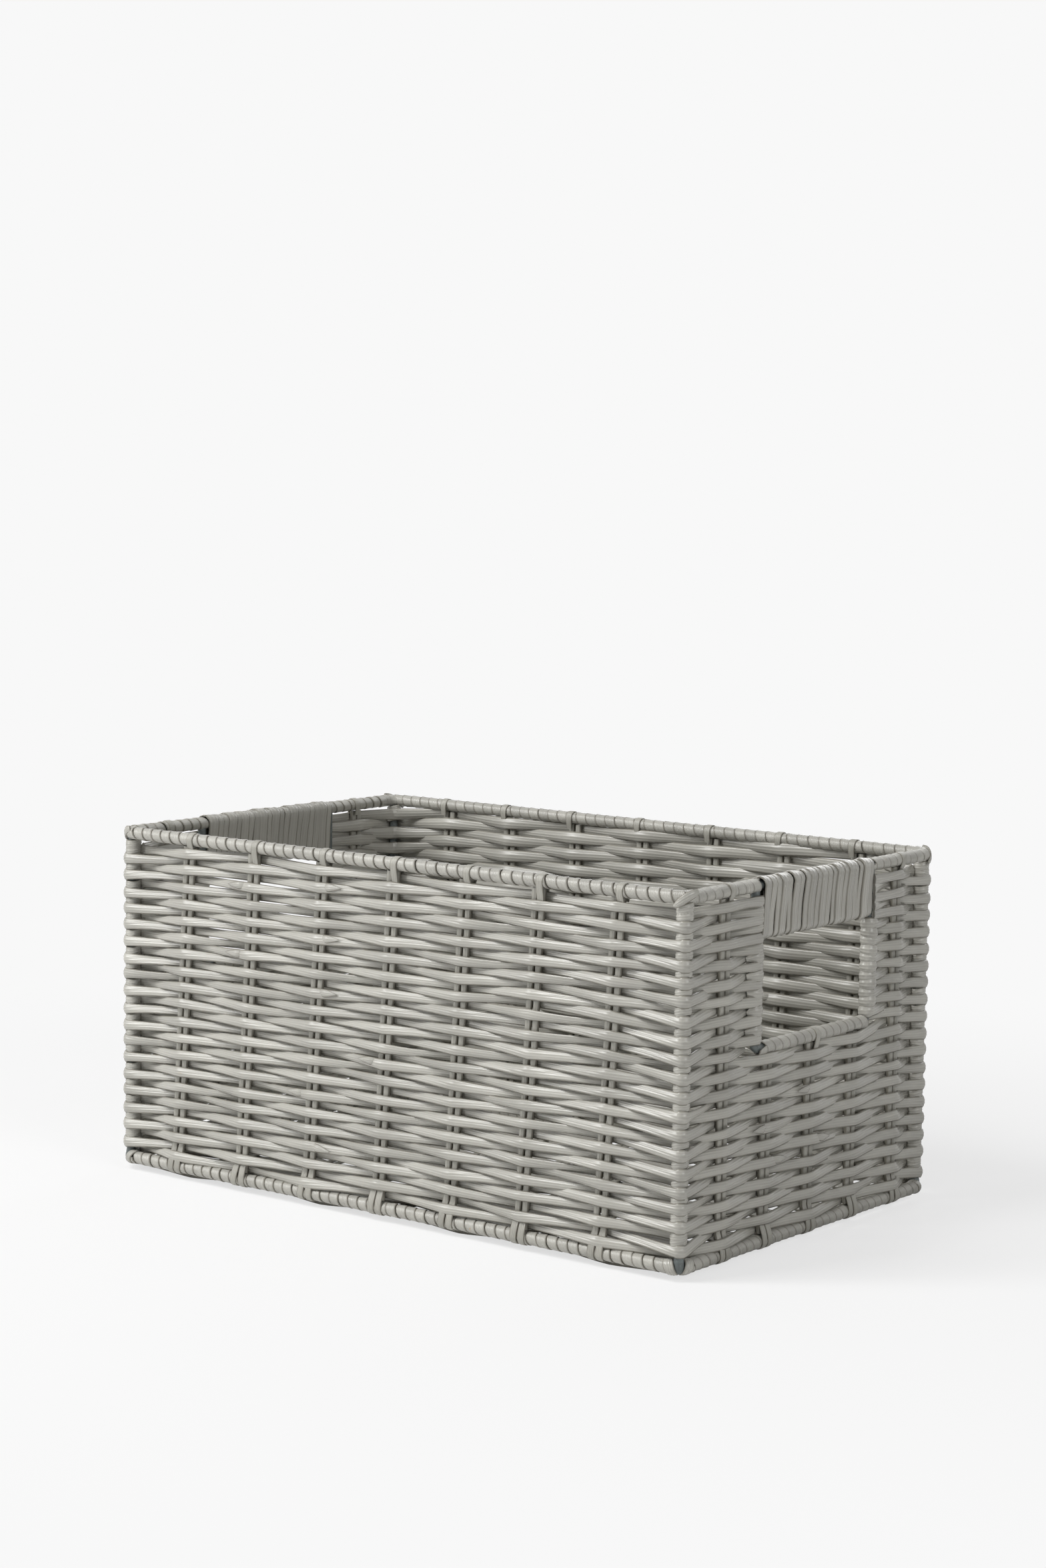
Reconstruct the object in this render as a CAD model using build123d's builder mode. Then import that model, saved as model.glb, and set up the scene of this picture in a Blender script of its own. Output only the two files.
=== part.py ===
"""A rectangular storage basket: flat peel woven over and under reed stakes on a bent steel wire frame.

The long side runs along X, the floor is z = 0 and the basket's middle is on the Z axis. All sizes are in
millimetres.
"""

import os
from math import hypot, radians, sqrt, tan

from build123d import *

# ---- overall size, over the reed ends that loop round the rim and the base ----
length = 400.0
width = 250.0
height = 201.5

# ---- steel wire frame ----
wire_d = 5.0
corner_bend_r = 8.0  # of the wire's axis, at the rim's and the base's corners
opening_w = 114.0  # between the axes of a hand hole's two posts
sill_drop = 86.0  # from the rim wire's axis to the sill's
opening_bend_r = 6.0  # of the wire's axis, where a post turns into the sill
grip_drop = 24.2  # from the rim wire's axis to the lower grip bar's

# ---- peel wound round the wires ----
binding_t = 1.1

# ---- reed stakes, which stand in pairs ----
reed_w = 3.2
reed_t = 1.5
reed_gap = 0.6
long_stakes = 7  # pairs in each long wall, which also cross the base
end_stakes = 5  # pairs in each end wall
long_corner_gap = 44.0  # from a corner post's axis to the middle of the nearest pair in a long wall
end_corner_gap = 33.0
loop_tail = 3.0  # how far a looped reed end reaches down behind the wire it holds

# ---- flat peel weavers ----
weaver_w = 4.6
weaver_t = 1.8
weaver_gap = 0.2  # the least slit between two rows
base_weaver_w = 13.8  # three peels laid side by side
base_weaver_gap = 0.4

fit = 0.1  # clearance between pieces that touch

# ---- places that follow from the sizes ----
wire_r = wire_d / 2
bound_r = wire_r + fit + binding_t  # a bound wire's outside
reed_turn = bound_r + fit + reed_t / 2  # from a bound wire's axis to a reed that passes round it
turn_room = reed_turn + reed_t / 2  # from that axis to the reed's far face

rim_x = length / 2 - turn_room  # the walls stand in the planes of the rim's and the base's wires
rim_y = width / 2 - turn_room
rim_z = height - turn_room
floor_reed_z = weaver_t + fit + reed_t / 2
base_z = floor_reed_z + reed_turn
sill_z = rim_z - sill_drop
grip_z = rim_z - grip_drop

post_inset = corner_bend_r * (1 - 1 / sqrt(2))  # a corner post stands under the middle of the bend
post_x = rim_x - post_inset
post_y = rim_y - post_inset
hole_y = opening_w / 2

last_x = post_x - long_corner_gap
last_y = post_y - end_corner_gap
stake_pitch_x = 2 * last_x / (long_stakes - 1)
stake_pitch_y = 2 * last_y / (end_stakes - 1)
stake_x = [k * stake_pitch_x - last_x for k in range(long_stakes)]
stake_y = [k * stake_pitch_y - last_y for k in range(end_stakes)]
outer_y = [y for y in stake_y if y < -hole_y]  # end stakes between the front corner and the hand hole
reed_shift = (reed_w + reed_gap) / 2
pair_r = reed_w + reed_gap / 2  # half the width of a pair of reeds

# rows fill the wall between the reeds that turn over the base and those that turn under the rim; their
# number is odd, so that the top and the bottom row pass the corner posts on the same side
rows_low = base_z + turn_room + fit
rows_high = rim_z - turn_room - fit
row_count = 2 * int(((rows_high - rows_low) / (weaver_w + weaver_gap) + 1) // 2) - 1
row_pitch = (rows_high - rows_low) / row_count
row_z = [rows_high - (i + 0.5) * row_pitch for i in range(row_count)]

# ---- how far a weaver bows out to pass what it goes round ----
stake_seat = reed_t / 2 + fit + weaver_t / 2
post_seat = wire_r + fit + weaver_t / 2
wire_flat = wire_r * tan(radians(22.5))


def post_bow(run):
    """How far a weaver's corner lies from a post's axis, so that its slope to a stake the run away still
    clears the post."""
    slope = (post_seat + wire_flat) / (run + post_seat)
    return post_seat * (1 + slope) / (1 - slope)


def stake_bow(reach, run):
    """How far a weaver's middle lies from a wall's plane at a stake, so that it clears the pair's edges
    where its slope takes it the reach across that plane within the run."""
    slope = pair_r / run
    return (stake_seat + slope * reach) / (1 - slope)


last_run = -hole_y - outer_y[-1] + post_seat  # from the last stake to a row's turn at a hand hole
corner_bow = post_bow(min(long_corner_gap, end_corner_gap))
hole_bow = post_bow(last_run)
inner_reach = post_inset + post_seat  # of a row that passes inside a corner post
long_bow = stake_bow(inner_reach, long_corner_gap - post_seat)
end_bow = max(stake_bow(inner_reach, end_corner_gap - post_seat), stake_bow(hole_bow, last_run))


# ---- the strips that everything is woven from ----
def edge_points(points, shift, closed=False):
    """The edge that runs the shift to the left of a strip's centre line, mitred at each turn."""
    edge = []
    last = len(points) - 1
    for i, point in enumerate(points):
        ways = []
        if closed or i > 0:
            ways.append((points[i - 1], point))
        if closed or i < last:
            ways.append((point, points[(i + 1) % len(points)]))
        normals = []
        for (x0, y0), (x1, y1) in ways:
            run = hypot(x1 - x0, y1 - y0)
            normals.append(((y0 - y1) / run, (x1 - x0) / run))
        (ax, ay), (bx, by) = normals[0], normals[-1]
        reach = shift / (1 + ax * bx + ay * by)
        edge.append((point[0] + reach * (ax + bx), point[1] + reach * (ay + by)))
    return edge


def strip(points, thickness):
    """An open strip, seen on its edge."""
    left = edge_points(points, thickness / 2)
    right = edge_points(points, -thickness / 2)
    return Polygon(*left, *reversed(right), align=None)


def ring(points, thickness):
    """A closed strip, seen on its edge, whose points run anticlockwise."""
    Polygon(*edge_points(points, -thickness / 2, closed=True), align=None)
    Polygon(*edge_points(points, thickness / 2, closed=True), align=None, mode=Mode.SUBTRACT)


# ---- sections of the wire and of what is wound round it; eight flats stand for a round one ----
def wire_section(radius):
    return RegularPolygon(radius, 8, major_radius=False, rotation=22.5)


def binding_section():
    wire_section(bound_r)
    RegularPolygon(wire_r + fit, 8, major_radius=False, rotation=22.5, mode=Mode.SUBTRACT)


def save(part, name):
    part.label = name
    export_step(part, f"parts/{name}.step")


# ---- steel ----
def rod(start, way, run):
    """A straight length of wire."""
    with BuildSketch(Plane(start, z_dir=way)) as section:
        wire_section(wire_r)
    extrude(section.sketch, amount=run)


def bend(pivot, arm, spin, radius):
    """A quarter turn of wire about the pivot, which starts where the arm points."""
    start = Vector(pivot) + Vector(arm) * radius
    with BuildSketch(Plane(start, z_dir=Vector(spin).cross(Vector(arm)))) as section:
        wire_section(wire_r)
    revolve(section.sketch, axis=Axis(pivot, spin), revolution_arc=90)


def hoop(z):
    """The closed wire of the rim or the base."""
    run_x = rim_x - corner_bend_r
    run_y = rim_y - corner_bend_r
    with BuildPart() as wire:
        for side in (-1, 1):
            rod((-run_x, side * rim_y, z), (1, 0, 0), 2 * run_x)
            rod((side * rim_x, -run_y, z), (0, 1, 0), 2 * run_y)
            for end in (-1, 1):
                bend((side * run_x, end * run_y, z), (side, 0, 0), (0, 0, side * end), corner_bend_r)
    return wire.part


def corner_posts():
    """The four uprights, from the base wire up to the rim wire."""
    with BuildPart() as posts:
        with BuildSketch(Plane.XY.offset(base_z + wire_r + fit)):
            with GridLocations(2 * post_x, 2 * post_y, 2, 2):
                wire_section(wire_r)
        extrude(amount=rim_z - base_z - wire_d - 2 * fit)
    return posts.part


def opening_frame(x):
    """The U-shaped wire round a hand hole: two posts and the sill, in one bent piece."""
    run_y = hole_y - opening_bend_r
    foot_z = sill_z + opening_bend_r
    with BuildPart() as frame:
        rod((x, -run_y, sill_z), (0, 1, 0), 2 * run_y)
        for side in (-1, 1):
            bend((x, side * run_y, foot_z), (0, side, 0), (-side, 0, 0), opening_bend_r)
            rod((x, side * hole_y, foot_z), (0, 0, 1), rim_z - wire_r - fit - foot_z)
    return frame.part


def grip_bar(x):
    """The lower bar of a grip, from post to post."""
    with BuildPart() as bar:
        with BuildSketch(Plane.XZ):
            with Locations((x, grip_z)):
                wire_section(wire_r)
        extrude(amount=hole_y - wire_r - fit, both=True)
    return bar.part


# ---- peel wound round the steel, in runs between the bends and the posts ----
def hoop_binding(z, gap=None):
    """The straight runs along a hoop's sides; a gap leaves the middle of each end to the grip."""
    end_run = rim_y - corner_bend_r
    with BuildPart() as runs:
        with BuildSketch(Plane.YZ):
            with Locations((-rim_y, z), (rim_y, z)):
                binding_section()
        extrude(amount=rim_x - corner_bend_r, both=True)
        with BuildSketch(Plane.XZ.offset(gap or 0)):
            with Locations((-rim_x, z), (rim_x, z)):
                binding_section()
        extrude(amount=end_run - (gap or 0))
        mirror(about=Plane.XZ)
    return runs.part


def sill_binding(x):
    with BuildPart() as run:
        with BuildSketch(Plane.XZ):
            with Locations((x, sill_z)):
                binding_section()
        extrude(amount=hole_y - opening_bend_r, both=True)
    return run.part


def grip_outline(radius, mode=Mode.ADD):
    """What is wound round the rim wire and the grip bar, seen along them."""
    with BuildSketch() as outline:
        tall = Rectangle(2 * radius, grip_drop + 2 * radius)
        chamfer(tall.vertices(), radius * (2 - sqrt(2)))
    add(outline.sketch, mode=mode)


def grip_wrap(x):
    """Peel wound side by side round the rim wire and the grip bar together, hollow between them."""
    with BuildPart() as wrap:
        with BuildSketch(Plane.XZ):
            with Locations((x, (rim_z + grip_z) / 2)):
                grip_outline(bound_r)
                grip_outline(wire_r + fit, mode=Mode.SUBTRACT)
        extrude(amount=hole_y - post_seat - weaver_t / 2 - fit, both=True)
    return wrap.part


# ---- reeds ----
def foot(wall, inward):
    """A reed's turn round the outside of the bound base wire; inward is the way to the basket's middle."""
    return [
        (wall, base_z + reed_turn),
        (wall - inward * reed_turn, base_z + reed_turn),
        (wall - inward * reed_turn, floor_reed_z),
    ]


def loop(wall, inward, z):
    """A reed end's loop over the bound wire at height z, tucked down behind it."""
    return [
        (wall, z - reed_turn),
        (wall - inward * reed_turn, z - reed_turn),
        (wall - inward * reed_turn, z + reed_turn),
        (wall + inward * reed_turn, z + reed_turn),
        (wall + inward * reed_turn, z - loop_tail),
    ]


def plain_end(wall, z):
    """A reed end cut off just under the bound wire at height z."""
    return [(wall, z - bound_r - fit)]


def cross_pair(x):
    """Two reeds that stand in both long walls and cross under the floor; one of them loops over the rim."""
    with BuildPart() as pair:
        for shift, looped in ((-reed_shift, False), (reed_shift, True)):
            front, back = plain_end(-rim_y, rim_z), plain_end(rim_y, rim_z)
            if looped:
                front, back = loop(-rim_y, 1, rim_z), loop(rim_y, -1, rim_z)
            line = front[::-1] + foot(-rim_y, 1) + foot(rim_y, -1)[::-1] + back
            with BuildSketch(Plane.YZ.offset(x + shift - reed_w / 2)):
                strip(line, reed_t)
            extrude(amount=reed_w)
    return pair.part


def end_pairs(side):
    """The stakes of one end wall. Those under the hand hole stop at its sill."""
    middle = end_stakes // 2
    wall = side * rim_x
    with BuildPart() as stakes:
        for k, y in enumerate(stake_y):
            under_hole = abs(y) < hole_y
            top_z = sill_z if under_hole else rim_z
            for shift, looped in ((-reed_shift, False), (reed_shift, not under_hole or k == middle)):
                top = loop(wall, -side, top_z) if looped else plain_end(wall, top_z)
                tail = (wall - side * bound_r, floor_reed_z)
                with BuildSketch(Plane.XZ.offset(-y - side * shift - reed_w / 2)):
                    strip(top[::-1] + foot(wall, -side) + [tail], reed_t)
                extrude(amount=reed_w)
    return stakes.part


# ---- weaving ----
def front_stretch(turn):
    """A row's line along the front wall from corner to corner; turn is 1 where it starts inside, or -1."""
    bow = post_seat if turn > 0 else -corner_bow
    line = [(-post_x + bow, -post_y + bow)]
    for k, x in enumerate(stake_x):
        line.append((x, -rim_y - long_bow * turn * (-1) ** k))
    line.append((post_x - bow, -post_y + bow))
    return line


def end_stretch(turn, stakes):
    """A row's line up the right-hand wall past the stakes given."""
    return [(rim_x + end_bow * turn * (-1) ** k, y) for k, y in enumerate(stakes)]


def half_turned(line):
    return [(-x, -y) for x, y in line]


def full_row(turn):
    """A closed row under the hand holes."""
    half = front_stretch(turn) + end_stretch(turn, stake_y)
    return half + half_turned(half)


def hand_hole_turn(turn, past_bar):
    """How a row ends at a hand hole's front post on the right: hooked round it, or cut short of it."""
    if not past_bar:
        return [(rim_x, -hole_y - post_seat)]
    side = -turn
    return [
        (rim_x + side * hole_bow, -hole_y + post_seat),
        (rim_x - side * post_seat, -hole_y + post_seat),
        (rim_x - side * post_seat, -hole_y),
    ]


def split_row(turn, past_bar):
    """A row of the front wall that comes back at the hand holes' posts."""
    right = end_stretch(turn, outer_y) + hand_hole_turn(turn, past_bar)
    left = [(-x, y) for x, y in reversed(right)]
    return left + front_stretch(turn) + right


def hooks_round_post(z):
    """Whether a row meets plain post, not the grip bar's end or the bend into the sill."""
    half = weaver_w / 2 + fit
    return z - half > sill_z + opening_bend_r and abs(z - grip_z) > half + wire_r


def course(rows):
    """The rows given, counted from the rim. Even ones start inside the corner posts, the others outside."""
    with BuildPart() as weave:
        for i in rows:
            turn = 1 if i % 2 == 0 else -1
            with BuildSketch(Plane.XY.offset(row_z[i] - weaver_w / 2)):
                if row_z[i] + weaver_w / 2 + fit <= sill_z - turn_room:
                    ring(full_row(turn), weaver_t)
                else:
                    front = split_row(turn, hooks_round_post(row_z[i]))
                    strip(front, weaver_t)
                    strip(half_turned(front), weaver_t)
            extrude(amount=weaver_w)
    return weave.part


def base_weave():
    """Lengthwise weavers over and under the crossing reeds. Each pass under is flat and stands on the
    floor."""
    flat = pair_r + weaver_t / 2
    rise = pair_r / (stake_pitch_x - flat)
    over = (stake_seat + rise * stake_seat) / (1 - rise)
    end_x = rim_x - bound_r - 3 * fit
    free = 2 * (rim_y - bound_r - fit)
    count = int(free // (base_weaver_w + base_weaver_gap))
    pitch = free / count
    with BuildPart() as weave:
        for i in range(count):
            line = [(-end_x, floor_reed_z)]
            for k, x in enumerate(stake_x):
                if (k + i) % 2:
                    line.append((x, floor_reed_z + over))
                else:
                    line += [(x - flat, floor_reed_z - stake_seat), (x + flat, floor_reed_z - stake_seat)]
            line.append((end_x, floor_reed_z))
            with BuildSketch(Plane.XZ.offset(free / 2 - (i + 0.5) * pitch - base_weaver_w / 2)):
                strip(line, weaver_t)
            extrude(amount=base_weaver_w)
    return weave.part


os.makedirs("parts", exist_ok=True)

save(hoop(rim_z), "rim_wire")
save(hoop(base_z), "base_wire")
save(corner_posts(), "corner_posts")
save(hoop_binding(rim_z, gap=hole_y + wire_r + fit), "rim_binding")
save(hoop_binding(base_z), "base_binding")
for side, hand in ((-1, "left"), (1, "right")):
    save(opening_frame(side * rim_x), f"opening_frame_{hand}")
    save(grip_bar(side * rim_x), f"grip_bar_{hand}")
    save(sill_binding(side * rim_x), f"sill_binding_{hand}")
    save(grip_wrap(side * rim_x), f"grip_wrap_{hand}")
    save(end_pairs(side), f"end_stakes_{hand}")
for k, x in enumerate(stake_x):
    save(cross_pair(x), f"cross_stakes_{k + 1}")
save(course(range(1)), "weave_course_01")  # the top row; those below it come in pairs
for k in range(1, row_count // 2 + 1):
    save(course(range(2 * k - 1, 2 * k + 1)), f"weave_course_{k + 1:02d}")
save(base_weave(), "base_weave")
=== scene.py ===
"""A rectangular woven storage basket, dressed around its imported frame: ribbed peel woven over and under
pairs of reeds, on steel wire whose rim, base and hand holes are wound with peel. All sizes are in metres.
"""

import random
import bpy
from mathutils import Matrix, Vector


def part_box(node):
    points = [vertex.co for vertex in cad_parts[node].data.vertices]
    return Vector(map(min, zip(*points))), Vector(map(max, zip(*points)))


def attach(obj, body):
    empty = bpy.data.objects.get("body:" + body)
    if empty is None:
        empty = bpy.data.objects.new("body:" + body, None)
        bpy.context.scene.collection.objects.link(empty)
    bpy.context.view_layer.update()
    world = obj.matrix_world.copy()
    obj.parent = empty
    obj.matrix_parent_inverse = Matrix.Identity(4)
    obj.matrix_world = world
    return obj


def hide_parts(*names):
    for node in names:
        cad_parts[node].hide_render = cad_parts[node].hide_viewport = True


bl_info = {
    "name": "Woven Storage Basket",
    "version": (1, 0, 0),
    "blender": (4, 5, 0),
    "location": "View3D > Sidebar > Basket",
    "description": "Weaves and winds a storage basket around its wire frame",
    "category": "Add Mesh",
}

from collections import namedtuple
from math import asin, cos, pi, radians, sin, tau

import bpy
from mathutils import Matrix, Vector, noise

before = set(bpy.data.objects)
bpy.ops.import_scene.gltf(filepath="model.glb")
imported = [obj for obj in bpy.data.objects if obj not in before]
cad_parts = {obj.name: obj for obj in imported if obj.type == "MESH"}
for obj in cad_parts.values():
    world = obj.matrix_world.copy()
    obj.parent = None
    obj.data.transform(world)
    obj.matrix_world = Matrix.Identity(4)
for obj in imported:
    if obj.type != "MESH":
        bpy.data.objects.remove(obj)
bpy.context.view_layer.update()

MM = 0.001
UP = Vector((0, 0, 1))


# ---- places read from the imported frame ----
def middle(node):
    """The middle of a node's box."""
    low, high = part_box(node)
    return (low + high) / 2


rim_low, rim_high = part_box("rim_wire")
wire_r = (rim_high.z - rim_low.z) / 2
rim_x = rim_high.x - wire_r
rim_y = rim_high.y - wire_r
rim_z = rim_high.z - wire_r
base_z = middle("base_wire").z
post_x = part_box("corner_posts")[1].x - wire_r
post_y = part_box("corner_posts")[1].y - wire_r
sill_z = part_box("opening_frame_right")[0].z + wire_r
hole_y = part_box("opening_frame_right")[1].y - wire_r
grip_z = middle("grip_bar_right").z
post_inset = rim_y - post_y

cross_nodes = sorted(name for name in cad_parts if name.startswith("cross_stakes"))
course_nodes = sorted(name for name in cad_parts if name.startswith("weave_course"))
pair_r = (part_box(cross_nodes[0])[1].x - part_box(cross_nodes[0])[0].x) / 2
long_stakes = [middle(name).x for name in cross_nodes]
END_PAIRS = 5
last_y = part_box("end_stakes_right")[1].y - pair_r
end_stakes = [last_y * (2 * k / (END_PAIRS - 1) - 1) for k in range(END_PAIRS)]

top_low, top_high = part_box(course_nodes[0])
top_row_z = (top_low.z + top_high.z) / 2
bottom_row_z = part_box(course_nodes[-1])[0].z + (top_high.z - top_low.z) / 2
row_count = 2 * len(course_nodes) - 1
row_pitch = (top_row_z - bottom_row_z) / (row_count - 1)
row_z = [top_row_z - i * row_pitch for i in range(row_count)]

base_low, base_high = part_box("base_weave")
BASE_BANDS = 16
PEELS_IN_BAND = 3

# a wall: the way along it and the way out, how far its middle is from its posts, how far its plane is from
# the basket's middle, and the places of its stakes along it
Wall = namedtuple("Wall", "along out half plane stakes")
WALLS = (
    Wall(Vector((1, 0, 0)), Vector((0, -1, 0)), post_x, rim_y, long_stakes),
    Wall(Vector((0, 1, 0)), Vector((1, 0, 0)), post_y, rim_x, end_stakes),
    Wall(Vector((-1, 0, 0)), Vector((0, 1, 0)), post_x, rim_y, long_stakes),
    Wall(Vector((0, -1, 0)), Vector((-1, 0, 0)), post_y, rim_x, end_stakes),
)
FRONT, RIGHT, BACK, LEFT = range(4)


def place_on(wall, s, d, z):
    """The place that far along a wall from its middle, out from its plane, and up."""
    side = WALLS[wall]
    return side.along * s + side.out * (side.plane + d) + UP * z


def spoke(start, end, angle):
    """The way that lies at an angle from one way towards another, square to it."""
    return start * cos(angle) + end * sin(angle)


def smoothed(share):
    """From 0 to 1 without a kink at either end."""
    return share * share * (3 - 2 * share)


def linear(hex_colour):
    """An sRGB hex colour as the linear one that the shaders take."""
    shares = [int(hex_colour[i : i + 2], 16) / 255 for i in (1, 3, 5)]
    return tuple(c / 12.92 if c <= 0.04045 else ((c + 0.055) / 1.055) ** 2.4 for c in shares)


# ---- sizes and colours that a user would change ----
def length_setting(name, description, millimetres):
    return bpy.props.FloatProperty(
        name=name, description=description, default=millimetres * MM, min=0.0, unit="LENGTH", precision=5
    )


def colour_setting(name, description, hex_colour):
    colour = linear(hex_colour)
    return bpy.props.FloatVectorProperty(
        name=name, description=description, default=colour, size=3, min=0, max=1, subtype="COLOR"
    )


def power_setting(name, description, watts):
    return bpy.props.FloatProperty(name=name, description=description, default=watts, unit="POWER")


class BasketSizes(bpy.types.PropertyGroup):
    weaver_width: length_setting("Weaver Width", "Width of the peel woven round the walls", 5.8)
    weaver_thickness: length_setting("Weaver Thickness", "Thickness of the woven peel", 2.3)
    weaver_ribs: bpy.props.IntProperty(
        name="Weaver Ribs", description="Ribs on each face of the woven peel", default=4, min=2
    )
    rib_depth: length_setting("Rib Depth", "How deep the grooves between two ribs are", 0.11)
    reed_width: length_setting("Reed Width", "Width of one upright reed", 4.0)
    reed_thickness: length_setting("Reed Thickness", "Thickness of one upright reed", 3.0)
    band_thickness: length_setting("Band Thickness", "Thickness of a reed pressed flat over a wire", 0.95)
    rim_pitch: length_setting("Rim Pitch", "From one turn of peel to the next along the rim", 7.2)
    base_pitch: length_setting("Base Pitch", "From one turn of peel to the next along the base", 6.8)
    winding_thickness: length_setting("Winding Thickness", "Thickness of the wound peel", 1.15)
    wander: length_setting("Wander", "How far a strand strays from its row at a stake", 0.42)
    waves: length_setting("Waves", "How far the rows roll up and down together", 1.6)
    seed: bpy.props.IntProperty(name="Seed", description="Start of the random draws", default=7)


class BasketColours(bpy.types.PropertyGroup):
    peel: colour_setting("Peel", "Paint on the woven and wound peel", "#B0AEA6")
    reed: colour_setting("Reed", "Paint on the upright reeds", "#A5A39A")
    # painted shade: the dark colour that each strand's edges go over to, standing in for the shade where
    # strands touch
    painted_crevice_shade: colour_setting("Painted Crevice Shade", "Thin paint and dust where strands touch", "#5F594B")
    bare_cane: colour_setting("Bare Cane", "Cane where the paint has missed it", "#B39C7C")
    wire: colour_setting("Wire", "Coating of the steel wire", "#5A605F")


class BasketStage(bpy.types.PropertyGroup):
    floor: colour_setting("Floor", "Colour of the floor and the backdrop", "#F8F8F8")
    key_power: power_setting("Softbox", "Power of the tall softbox", 17)
    top_power: power_setting("Overhead", "Power of the light above", 21)
    fill_power: power_setting("Side Light", "Power of the side light", 12)
    rear_power: power_setting("Rear Light", "Power of the rear light", 10)
    world: bpy.props.FloatProperty(
        name="Sky", description="Strength of the even light all round", default=0.12
    )


# ---- node trees ----
def add(tree, kind, links=None, **settings):
    """Adds a node. Its links give each input a value, or the node or socket that feeds it."""
    node = tree.nodes.new(kind)
    for name, value in settings.items():
        setattr(node, name, value)
    for key, value in (links or {}).items():
        if isinstance(value, bpy.types.Node):
            value = next(socket for socket in value.outputs if socket.enabled)
        if isinstance(value, bpy.types.NodeSocket):
            tree.links.new(value, node.inputs[key])
        else:
            node.inputs[key].default_value = value
    return node


SECTION_INPUTS = {
    "Width": "Float",
    "Thickness": "Float",
    "Ribs": "Int",
    "Rib Depth": "Float",
    "Edge": "Float",
    "Crown": "Float",
}
WINDING_INPUTS = {
    "Coil Radius": "Float",
    "Pitch": "Float",
    "Steps": "Int",
    "Looseness": "Float",
    "Lap": "Float",
    "Seed": "Int",
}


def new_tree(name, inputs):
    """A geometry tree with the named inputs, and the sockets of its input node."""
    tree = bpy.data.node_groups.new(name, "GeometryNodeTree")
    for label, kind in inputs.items():
        tree.interface.new_socket(label, in_out="INPUT", socket_type="NodeSocket" + kind)
    tree.interface.new_socket("Geometry", in_out="OUTPUT", socket_type="NodeSocketGeometry")
    return tree, add(tree, "NodeGroupInput").outputs


def section_tree():
    """The cross section of a strand. Its two faces carry ribs, with one point to each crest and groove.
    Edge is the share of the thickness left at the edges. A low crown rounds the faces off, and a high
    one keeps them flat."""
    tree, given = new_tree("Ribbed Section", SECTION_INPUTS)
    on_face = add(tree, "ShaderNodeMath", {0: given["Ribs"], 1: 2.0, 2: 1.0}, operation="MULTIPLY_ADD")
    count = add(tree, "ShaderNodeMath", {0: on_face, 1: 2.0}, operation="MULTIPLY")
    circle = add(tree, "GeometryNodeCurvePrimitiveCircle", {"Resolution": count})
    index = add(tree, "GeometryNodeInputIndex")
    last = add(tree, "ShaderNodeMath", {0: on_face, 1: 0.5}, operation="SUBTRACT")
    under = add(tree, "ShaderNodeMath", {0: index, 1: last}, operation="GREATER_THAN")
    side = add(tree, "ShaderNodeMath", {0: under, 1: -2.0, 2: 1.0}, operation="MULTIPLY_ADD")
    skipped = add(tree, "ShaderNodeMath", {0: on_face, 1: under}, operation="MULTIPLY")
    place = add(tree, "ShaderNodeMath", {0: index, 1: skipped}, operation="SUBTRACT")
    across = add(tree, "ShaderNodeMath", {0: place, 1: given["Ribs"]}, operation="DIVIDE")
    centred = add(tree, "ShaderNodeMath", {0: across, 1: 1.0}, operation="SUBTRACT")
    x = add(tree, "ShaderNodeMath", {0: centred, 1: side}, operation="MULTIPLY")
    reach = add(tree, "ShaderNodeMath", {0: centred}, operation="ABSOLUTE")
    fall = add(tree, "ShaderNodeMath", {0: reach, 1: given["Crown"]}, operation="POWER")
    lost = add(tree, "ShaderNodeMath", {0: given["Edge"], 1: 1.0}, operation="SUBTRACT")
    height = add(tree, "ShaderNodeMath", {0: fall, 1: lost, 2: 1.0}, operation="MULTIPLY_ADD")
    half_width = add(tree, "ShaderNodeMath", {0: given["Width"], 1: 0.5}, operation="MULTIPLY")
    half_depth = add(tree, "ShaderNodeMath", {0: given["Thickness"], 1: 0.5}, operation="MULTIPLY")
    crest = add(tree, "ShaderNodeMath", {0: place, 1: 2.0}, operation="MODULO")
    # groove is 1 in a groove and 0 on a crest; the finishes use it for the ribs' bump and for painted shade
    # in the grooves
    groove = add(tree, "ShaderNodeMath", {0: 1.0, 1: crest}, operation="SUBTRACT")
    cut = add(tree, "ShaderNodeMath", {0: groove, 1: given["Rib Depth"]}, operation="MULTIPLY")
    rise = add(tree, "ShaderNodeMath", {0: height, 1: half_depth}, operation="MULTIPLY")
    ribbed = add(tree, "ShaderNodeMath", {0: rise, 1: cut}, operation="SUBTRACT")
    out = add(tree, "ShaderNodeMath", {0: ribbed, 1: side}, operation="MULTIPLY")
    aside = add(tree, "ShaderNodeMath", {0: x, 1: half_width}, operation="MULTIPLY")
    point = add(tree, "ShaderNodeCombineXYZ", {0: out, 1: aside})
    marked = add(tree, "GeometryNodeSetPosition", {"Geometry": circle, "Position": point})
    # flank grows towards the section's edges; the finishes use it for painted shade along the edges
    flank = add(tree, "ShaderNodeMath", {0: reach, 1: 3.0}, operation="POWER")
    for name, value in (("groove", groove), ("flank", flank)):
        links = {"Geometry": marked, "Name": name, "Value": value}
        marked = add(tree, "GeometryNodeStoreNamedAttribute", links, data_type="FLOAT", domain="POINT")
    add(tree, "NodeGroupOutput", {"Geometry": marked})
    return tree


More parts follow.
